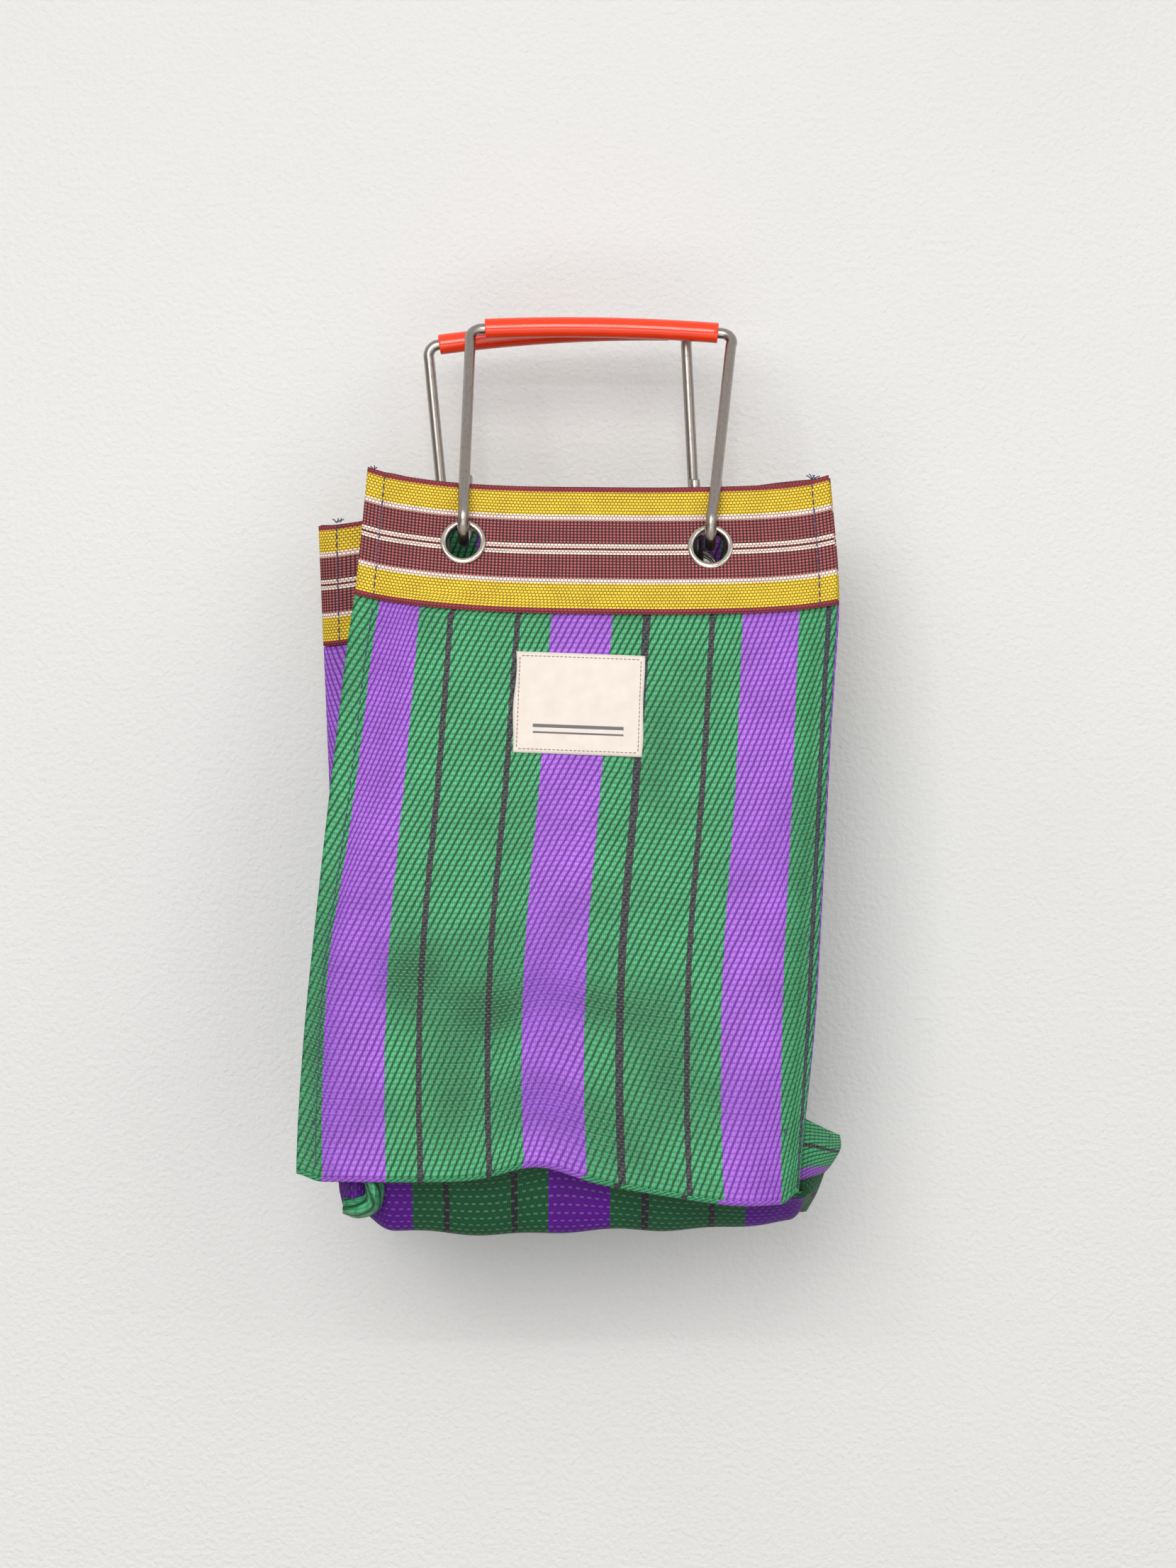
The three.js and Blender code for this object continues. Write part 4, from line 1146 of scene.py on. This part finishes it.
class BAG_OT_corner_folds(bpy.types.Operator):
    """Pleat that sticks out at the lower right and the crumpled corner at the lower left"""
    bl_idname = "bag.corner_folds"
    bl_label = "Corner folds"

    def execute(self, context):
        # plain is the bottom's cloth, darkened: a painted shade.
        twill, plain = cloth_finish("front"), cloth_finish("bottom")
        purple = 11.2
        fold_patch("right_pleat_upper", [
            [(91.5, -62, -323.0), (97.5, -60, -326.6), (105.0, -54, -330.8), (111.4, -46, -334.4)],
            [(91.0, -65, -334.0), (97.0, -64, -334.0), (105.0, -57, -337.0), (111.4, -49, -339.3)],
            [(90.5, -66, -344.0), (96.0, -66, -342.5), (102.5, -60, -343.5), (107.6, -53, -344.8)],
            [(90.5, -63, -352.0), (95.5, -63, -349.8), (100.5, -58, -349.2), (104.8, -51, -348.6)],
        ], [purple + way for way in (-32, -17, -4, 9)], twill, (0.3, -1, 0.2))
        fold_patch("right_pleat_lower", [
            [(90.5, -62, -350.5), (95.5, -61, -349.2), (100.5, -56, -348.6), (105.2, -50, -347.6)],
            [(90.5, -58, -357.0), (94.5, -60, -356.0), (98.5, -57, -356.2), (101.6, -50, -357.0)],
            [(89.5, -50, -363.6), (92.5, -52, -364.2), (95.5, -50, -365.0), (97.6, -46, -365.4)],
        ], [purple + way for way in (-26, -15, -4)], plain, (0.5, -1, -0.6))
        fold_patch("left_crumple_flap", [
            [(-92.2, -68, -344), (-86.2, -73, -344), (-80.0, -73, -344), (-76.0, -72, -344)],
            [(-92.0, -69, -352.4), (-86.2, -75, -352), (-80.0, -72, -352.4), (-76.0, -71, -352)],
            [(-90.4, -69, -360), (-85.8, -73, -361.2), (-80.0, -71, -361.4), (-75.0, -70, -362)],
        ], [purple + way for way in (2, 10, 18)], plain, (-0.2, -1, 0))
        fold_patch("left_crumple_curl", [
            [(-90.2, -73, -356.4), (-89.9, -79, -359.2), (-90.4, -73, -362.0)],
            [(-85.3, -74, -356.0), (-84.4, -81, -359.8), (-84.2, -74, -363.8)],
            [(-81.2, -75, -354.4), (-78.6, -83, -357.2), (-76.6, -75, -361.0)],
            [(-81.4, -75, -350.2), (-77.8, -84, -351.0), (-73.8, -75, -353.0)],
            [(-83.0, -75, -345.6), (-79.0, -83, -345.2), (-74.4, -75, -345.4)],
        ], [purple + way for way in (26, 27, 28, 30, 32)], twill, (0, -1, 0))
        line = [(107.6, -53.4, -332.6), (104.6, -57.6, -338.2), (101.2, -61.6, -343.2)]
        run = stitches("pleat_stitches", line, (0, -1, 0), 2.6, settings()[0].thread / MM)
        dress(run, thread_finish(), "bag_body", "thread")
        return {"FINISHED"}


def rolled_hem(which, point, width, body):
    """Overlocked roll under a wall's bottom edge, wearing the cloth's own stripes."""
    radius = settings()[0].hem / MM
    s = np.linspace(0, width, 201)
    path = point(s, np.ones_like(s)) + np.array((0.0, 0.0, -radius * 0.3))
    whip = radius * (1 + 0.06 * np.sin(s * 2 * math.pi / 2.1))
    made = tube(which + "_rolled_hem", path, whip, 16, rounded=0.6)
    dress(made, cloth_finish(which), body, "hem", which + "_hem")


class BAG_OT_bottom(bpy.types.Operator):
    """Loose bottom cloth and the rolled hems that it hangs from"""
    bl_idname = "bag.bottom"
    bl_label = "Bottom and hems"

    def execute(self, context):
        sizes = settings()[0]
        t, u = grid(60, 130)
        s = mix(3.0, FRONT_CLOTH - 12.0, u)
        points = bottom_point(s, t, sizes.bottom_shift / MM)
        flat = np.stack((s, t * 100.0), -1)
        made = cloth_sheet("bottom_cloth", points, flat, sizes.cloth / MM, (0.0, 0.0, -1.0))
        # The bottom's cloth is darkened, a painted shade.
        dress(made, cloth_finish("bottom"), "bag_body", "cloth", "bottom_panel")
        for wall in WALLS:
            rolled_hem(*wall)
        return {"FINISHED"}


# ---- eyelets and handles -------------------------------------------------------------------

class BAG_OT_eyelets(bpy.types.Operator):
    """Rolled eyelets and the washers they are set against"""
    bl_idname = "bag.eyelets"
    bl_label = "Eyelets"

    def execute(self, context):
        bright = finish_of("nickel plate, bright", plated_nickel, 0.12)
        dull = finish_of("nickel plate, dull", plated_nickel, 0.28)
        face, tail, bore, roll = 0.95, -3.0, EYELET_BORE + 0.45, 1.27
        rim = [(EYELET_R - roll - roll * math.cos(a), face + roll * math.sin(a) ** 0.8)
               for a in np.linspace(0.0, math.pi, 17)]
        ring = [(bore, tail), (bore, face - 0.6)] + rim
        ring += [(EYELET_R - 0.1, face - 0.05), (bore + 0.4, face - 0.05), (bore + 0.4, tail)]
        washer = [(7.3, -2.95), (9.0, -2.95), (9.2, -2.75), (9.2, -2.55), (9.0, -2.35),
                  (7.3, -2.35)]
        kinds = (("eyelet", ring, 96, bright), ("washer", washer, 72, dull))
        for which, _, _, body in WALLS:
            for hand, sign in (("left", -1), ("right", 1)):
                centre = eyelet_centre(which, sign)
                for kind, profile, steps, finish in kinds:
                    name = f"{which}_{hand}_{kind}"
                    made = turned_ring(name + "_ring", centre, band_normal(which), profile, steps)
                    dress(made, finish, body, "eyelet", name)
        return {"FINISHED"}


def quarter(centre, start, finish, radius, steps):
    """Quarter of a circle from one direction to another, as points."""
    centre, start, finish = (np.asarray(p, float) for p in (centre, start, finish))
    angles = np.linspace(0, math.pi / 2, steps + 1)
    return [centre + radius * (start * math.cos(a) + finish * math.sin(a)) for a in angles]


def half_handle(foot):
    """From the free end of the hook to the corner beside the grip, in handle coordinates."""
    g, top = HOOK_GAP / 2, HANDLE_WIDTH / 2
    path = [np.array((mix(foot, top, b / HANDLE_HEIGHT), b, -g))
            for b in np.linspace(HOOK_LENGTH, HOOK_R + 3, 8)]
    path += quarter((foot, HOOK_R, HOOK_R - g), (0, 0, -1), (0, -1, 0), HOOK_R, 10)
    path += quarter((foot, HOOK_R, g - HOOK_R), (0, -1, 0), (0, 0, 1), HOOK_R, 10)
    path += [np.array((mix(foot, top, b / HANDLE_HEIGHT), b, g))
             for b in np.linspace(HOOK_R + 6, HANDLE_HEIGHT - CORNER_R - 1.5, 22)]
    corner = (top - CORNER_R, HANDLE_HEIGHT - CORNER_R, g)
    path += quarter(corner, (1, 0, 0), (0, 1, 0), CORNER_R, 10)
    return path


class BAG_OT_handles(bpy.types.Operator):
    """Wire bail handles and the soft tubes pushed over them"""
    bl_idname = "bag.handles"
    bl_label = "Handles and grips"

    def execute(self, context):
        steel = finish_of("mild steel, drawn", drawn_steel)
        vinyl = finish_of("soft PVC, extruded", soft_vinyl)
        for which, handle in HANDLES.items():
            left = [handle.at(-a, b, c) for a, b, c in half_handle(-handle.foot(-1))]
            right = [handle.at(a, b, c) for a, b, c in half_handle(handle.foot(1))][::-1]
            reach = HANDLE_WIDTH / 2 - CORNER_R
            middle = [handle.grip_point(a) for a in np.linspace(-0.94, 0.94, 24) * reach]
            wire = tube(which + "_wire", left + middle + right, WIRE_R, 28, rounded=0.5)
            dress(wire, steel, which + "_handle", "wire", which + "_handle_wire")
            slid = -1.0 if which == "back" else 0.0
            line = [handle.grip_point(a + slid) for a in np.linspace(-0.5, 0.5, 49) * GRIP_LENGTH]
            soft = tube(which + "_soft_grip", line, GRIP_R, 40, WIRE_R + 0.3, rounded=0.35)
            dress(soft, vinyl, which + "_handle", "grip", which + "_grip")
        return {"FINISHED"}


# ---- thread and label ----------------------------------------------------------------------

class BAG_OT_seams(bpy.types.Operator):
    """Pinch seams along the upright edges"""
    bl_idname = "bag.seams"
    bl_label = "Pinch seams"

    def execute(self, context):
        sizes, finish = settings()[0], thread_finish()
        inset, thread, stitch = sizes.seam_inset / MM, sizes.thread / MM, sizes.stitch / MM
        for which, point, width, body in WALLS:
            normal = (0, -1 if which == "front" else 1, 0)
            for hand in ("left", "right"):
                s = inset if hand == "left" else width - inset
                below = s if hand == "left" or which == "back" else FRONT_CLOTH - 3.9
                v = np.linspace(0.002, BAND_SHARE - 0.002, 30)
                path = point(np.full_like(v, s), v, LAYER + 0.8 + thread * 0.7)
                made = stitches(f"{which}_{hand}_band_stitches", path, normal, stitch, thread)
                if which == "back" and hand == "left":
                    # The same seam's other side, on the folded side's webbing.
                    path = gusset_point(True, v, 0.9 + 0.0 * v, 0.9) + np.array((0.0, -1.0, 0.0))
                    other = stitches("other_side", path, (0, -1, 0), stitch, thread)
                    made = join_meshes(made.name, [made, other])
                v = np.linspace(BAND_SHARE + 0.012, 0.985, 90)
                path = point(np.full_like(v, below), v, 0.45 + thread * 0.1)
                dress(made, finish, body, "thread", f"{which}_{hand}_band_thread")
                made = stitches(f"{which}_{hand}_cloth_stitches", path, normal, stitch, thread)
                dress(made, finish, body, "thread", f"{which}_{hand}_panel_thread")
        return {"FINISHED"}


def strands(name, root, ways, radius):
    """Frayed thread ends: short curved strands from one place."""
    parts = []
    for k, way in enumerate(ways):
        way = np.array(way, float)
        bend = np.array((0.9 * math.sin(2.1 * k), -0.5, 0.8 * math.cos(1.7 * k)))
        line = [np.array(root) + way * t + bend * t * (1 - t) * 1.6 for t in np.linspace(0, 1, 7)]
        parts.append(tube("strand", line, radius, 6))
    return join_meshes(name, parts)


class BAG_OT_tufts(bpy.types.Operator):
    """Frayed thread ends at three corners and the two knots low on the front"""
    bl_idname = "bag.tufts"
    bl_label = "Frayed ends"

    def execute(self, context):
        navy = thread_finish()
        green = finish_of("frayed green yarn", sewing_thread, linear("#1f7a4e"))
        left = front_point(2.5, 0.0, 1.6)
        right = front_point(FRONT_CLOTH - 7.5, 0.0, 1.6)
        rear = gusset_point(True, np.array(0.0), np.array(0.9), 0.9) - np.array((0, 1.0, 0))
        beside = np.array((1.5, 0, 0))
        jobs = [
            ("front_left_tuft", left, navy, "front_wall",
             [(-1.2, -0.4, 1.2), (0.5, -0.6, 1.6), (1.6, -0.3, 0.9)]),
            ("front_right_tuft", right, navy, "front_wall",
             [(-2.6, -0.5, 1.9), (-1.4, -0.8, 2.6), (0.9, -0.5, 2.2), (2.4, -0.4, 1.6),
              (-0.5, -0.6, -1.5)]),
            ("front_right_yarn_end", right + beside, green, "front_wall",
             [(-1.5, -0.5, 2.1), (1.4, -0.6, 1.9)]),
            ("back_left_tuft", rear, navy, "bag_body",
             [(-1.6, -0.5, 1.4), (0.9, -0.5, 1.8), (2.0, -0.3, 1.1)]),
            ("back_left_yarn_end", rear + np.array((1.6, 0, 0)), green, "bag_body",
             [(1.8, -0.4, 1.3), (0.6, -0.4, 2.0)]),
            ("left_knot", front_point(7.0, 0.925, 0.7), navy, "front_wall",
             [(0.9, -0.3, 0.9), (-0.9, -0.3, 0.6), (0.5, -0.3, -0.9)]),
            ("right_knot", front_point(198.5, 0.905, 0.7), navy, "front_wall",
             [(0.6, -0.3, 1.0), (0.2, -0.3, -1.0)]),
        ]
        for name, root, finish, body, ways in jobs:
            dress(strands(name, root, ways, 0.24), finish, body, "thread")
        return {"FINISHED"}


def label_corner():
    """Middle of the label and its two directions on the front cloth."""
    low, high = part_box("label")
    middle = (np.array(low) + np.array(high)) / 2 / MM
    turn = math.radians(-2.2)
    right = np.array((math.cos(turn), math.sin(turn)))
    return middle, right, np.array((-right[1], right[0]))


def label_point(a, b, lift):
    """Point on the label, a and b in millimetres from its middle, lying on the front cloth."""
    middle, right, up = label_corner()
    x = middle[0] + a * right[0] + b * up[0]
    z = middle[2] + a * right[1] + b * up[1]
    return np.stack((x, front_depth(x, z) - lift, z), -1)


class BAG_OT_label(bpy.types.Operator):
    """Cotton label with its border of small stitches"""
    bl_idname = "bag.label"
    bl_label = "Label"

    def execute(self, context):
        wide, high = 52.5, 41.2
        w, u = grid(30, 40)
        a, b = (u - 0.5) * wide, (0.5 - w) * high
        a = a * (1 - 0.008 * np.sin(w * 7.0)) + 0.25 * np.sin(w * 9.0)
        crown = 0.35 * (1 - (2 * u - 1) ** 8) * (1 - (2 * w - 1) ** 8)
        points = label_point(a, b, 0.85 + crown)
        flat = np.stack((u * wide, w * high), -1)
        made = cloth_sheet("cotton_label", points, flat, 0.5, (0.0, -1.0, 0.0))
        dress(made, finish_of("cotton tape, printed", cotton_label), "front_wall", "label", "label")
        inner_w, inner_h = wide / 2 - 1.6, high / 2 - 1.6
        parts = []
        corners = [(-1, -1), (1, -1), (1, 1), (-1, 1), (-1, -1)]
        for k in range(4):
            t = np.linspace(0.01, 0.99, 24)
            line_a = mix(corners[k][0], corners[k + 1][0], t) * inner_w
            line_b = mix(corners[k][1], corners[k + 1][1], t) * inner_h
            path = label_point(line_a, line_b, 1.25)
            parts.append(stitches("label_run", path, (0, -1, 0), 1.7, 0.2, 0.12))
        run = join_meshes("label_stitches", parts)
        brown = finish_of("cotton thread, tan", sewing_thread, linear("#b58f78"))
        dress(run, brown, "front_wall", "thread", "label_stitch")
        return {"FINISHED"}


# ---- stage ---------------------------------------------------------------------------------

def area_light(name, place, aim, size, power):
    data = bpy.data.lights.new(name, "AREA")
    data.shape = "RECTANGLE"
    data.size, data.size_y = size
    data.energy = power
    lamp = bpy.data.objects.new(name, data)
    lamp.location = place
    lamp.rotation_euler = (Vector(aim) - Vector(place)).to_track_quat("-Z", "Y").to_euler()
    bpy.context.scene.collection.objects.link(lamp)


class BAG_OT_stage(bpy.types.Operator):
    """Camera, pale wall and floor, and soft studio light"""
    bl_idname = "bag.stage"
    bl_label = "Stage"

    def execute(self, context):
        stage = settings()[2]
        camera = bpy.data.objects.new("camera", bpy.data.cameras.new("camera"))
        camera.location = (0.00804, -1.2, -0.1898)
        camera.rotation_euler = (math.pi / 2, 0, 0)
        camera.data.lens = 64.39
        camera.data.sensor_width = 36.0
        camera.data.clip_start = 0.05
        context.scene.collection.objects.link(camera)
        context.scene.camera = camera
        paint = finish_of("emulsion paint, rolled", painted_wall)
        back = max(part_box(n)[1].y for n in frame["nodes"]) + stage.wall_gap
        for name, corners in (
            ("wall", [(-2, back, -0.9), (2, back, -0.9), (2, back, 1.6), (-2, back, 1.6)]),
            ("floor", [(-2, -3, -0.9), (2, -3, -0.9), (2, back, -0.9), (-2, back, -0.9)]),
        ):
            plane = new_object(name, np.array(corners) / MM, [(0, 1, 2, 3)])
            plane.data.materials.append(paint)
            plane.visible_shadow = False
            plane.visible_diffuse = False
        area_light("soft_box", (-0.4, -2.2, 0.45), (0, 0, -0.2), (1.2, 1.2), stage.light * 1.05)
        area_light("fill", (1.3, -1.6, 0.1), (0, 0, -0.2), (1.6, 1.6), stage.light * 0.22)
        area_light("low_fill", (0.0, -1.5, -0.75), (0, 0, -0.4), (1.6, 0.8), stage.light * 0.26)
        area_light("strip", (0.0, -1.0, 0.17), (0, 0, 0), (1.4, 0.012), stage.light * 0.05)
        area_light("behind", (0.2, 1.6, 0.6), (0, 0, -0.2), (1.8, 1.8), stage.light * 0.5)
        # The room is bright above and dimmer where the viewer stands, which the metal shows.
        world = bpy.data.worlds.new("room")
        context.scene.world = world
        world.use_nodes = True
        tree = world.node_tree
        way = node(tree, "SeparateXYZ", {0: node(tree, "TexCoord").outputs["Generated"]})
        rise = node(tree, "MapRange", {0: way.outputs["Z"], 1: -0.35, 2: 0.55, 3: 0.0, 4: 1.0},
                    interpolation_type="SMOOTHSTEP")
        sky = tree.nodes["Background"]
        low, high = (0.2, 0.19, 0.18, 1.0), (1.0, 1.0, 1.0, 1.0)
        tint = node(tree, "Mix", {0: rise, 6: low, 7: high}, data_type="RGBA")
        tree.links.new(tint.outputs[2], sky.inputs[0])
        sky.inputs[1].default_value = stage.ambient
        context.scene.view_settings.view_transform = "Standard"
        context.scene.view_settings.look = "None"
        return {"FINISHED"}


class BAG_PT_panel(bpy.types.Panel):
    """Sizes, colours and the steps that build the bag"""
    bl_idname = "BAG_PT_panel"
    bl_label = "Market bag"
    bl_space_type = "VIEW_3D"
    bl_region_type = "UI"
    bl_category = "Market bag"

    def draw(self, context):
        for group in (context.scene.bag_sizes, context.scene.bag_colours, context.scene.bag_stage):
            box = self.layout.box()
            for key in group.__annotations__:
                box.prop(group, key)
        for step in STEPS:
            self.layout.operator(step.bl_idname)


STEPS = (BAG_OT_stage, BAG_OT_walls, BAG_OT_sides, BAG_OT_bottom, BAG_OT_eyelets, BAG_OT_handles,
         BAG_OT_seams, BAG_OT_label, BAG_OT_corner_folds, BAG_OT_tufts)
GROUPS = {"bag_sizes": BagSizes, "bag_colours": BagColours, "bag_stage": StageSettings}


def register():
    for group in GROUPS.values():
        bpy.utils.register_class(group)
    for step in STEPS:
        bpy.utils.register_class(step)
    bpy.utils.register_class(BAG_PT_panel)
    for key, group in GROUPS.items():
        setattr(bpy.types.Scene, key, bpy.props.PointerProperty(type=group))


def unregister():
    for key in GROUPS:
        delattr(bpy.types.Scene, key)
    bpy.utils.unregister_class(BAG_PT_panel)
    for step in reversed(STEPS):
        bpy.utils.unregister_class(step)
    for group in reversed(GROUPS.values()):
        bpy.utils.unregister_class(group)


def main():
    register()
    for step in STEPS:
        getattr(bpy.ops.bag, step.bl_idname.removeprefix("bag."))()
    bpy.context.view_layer.update()


if __name__ == "__main__":
    main()
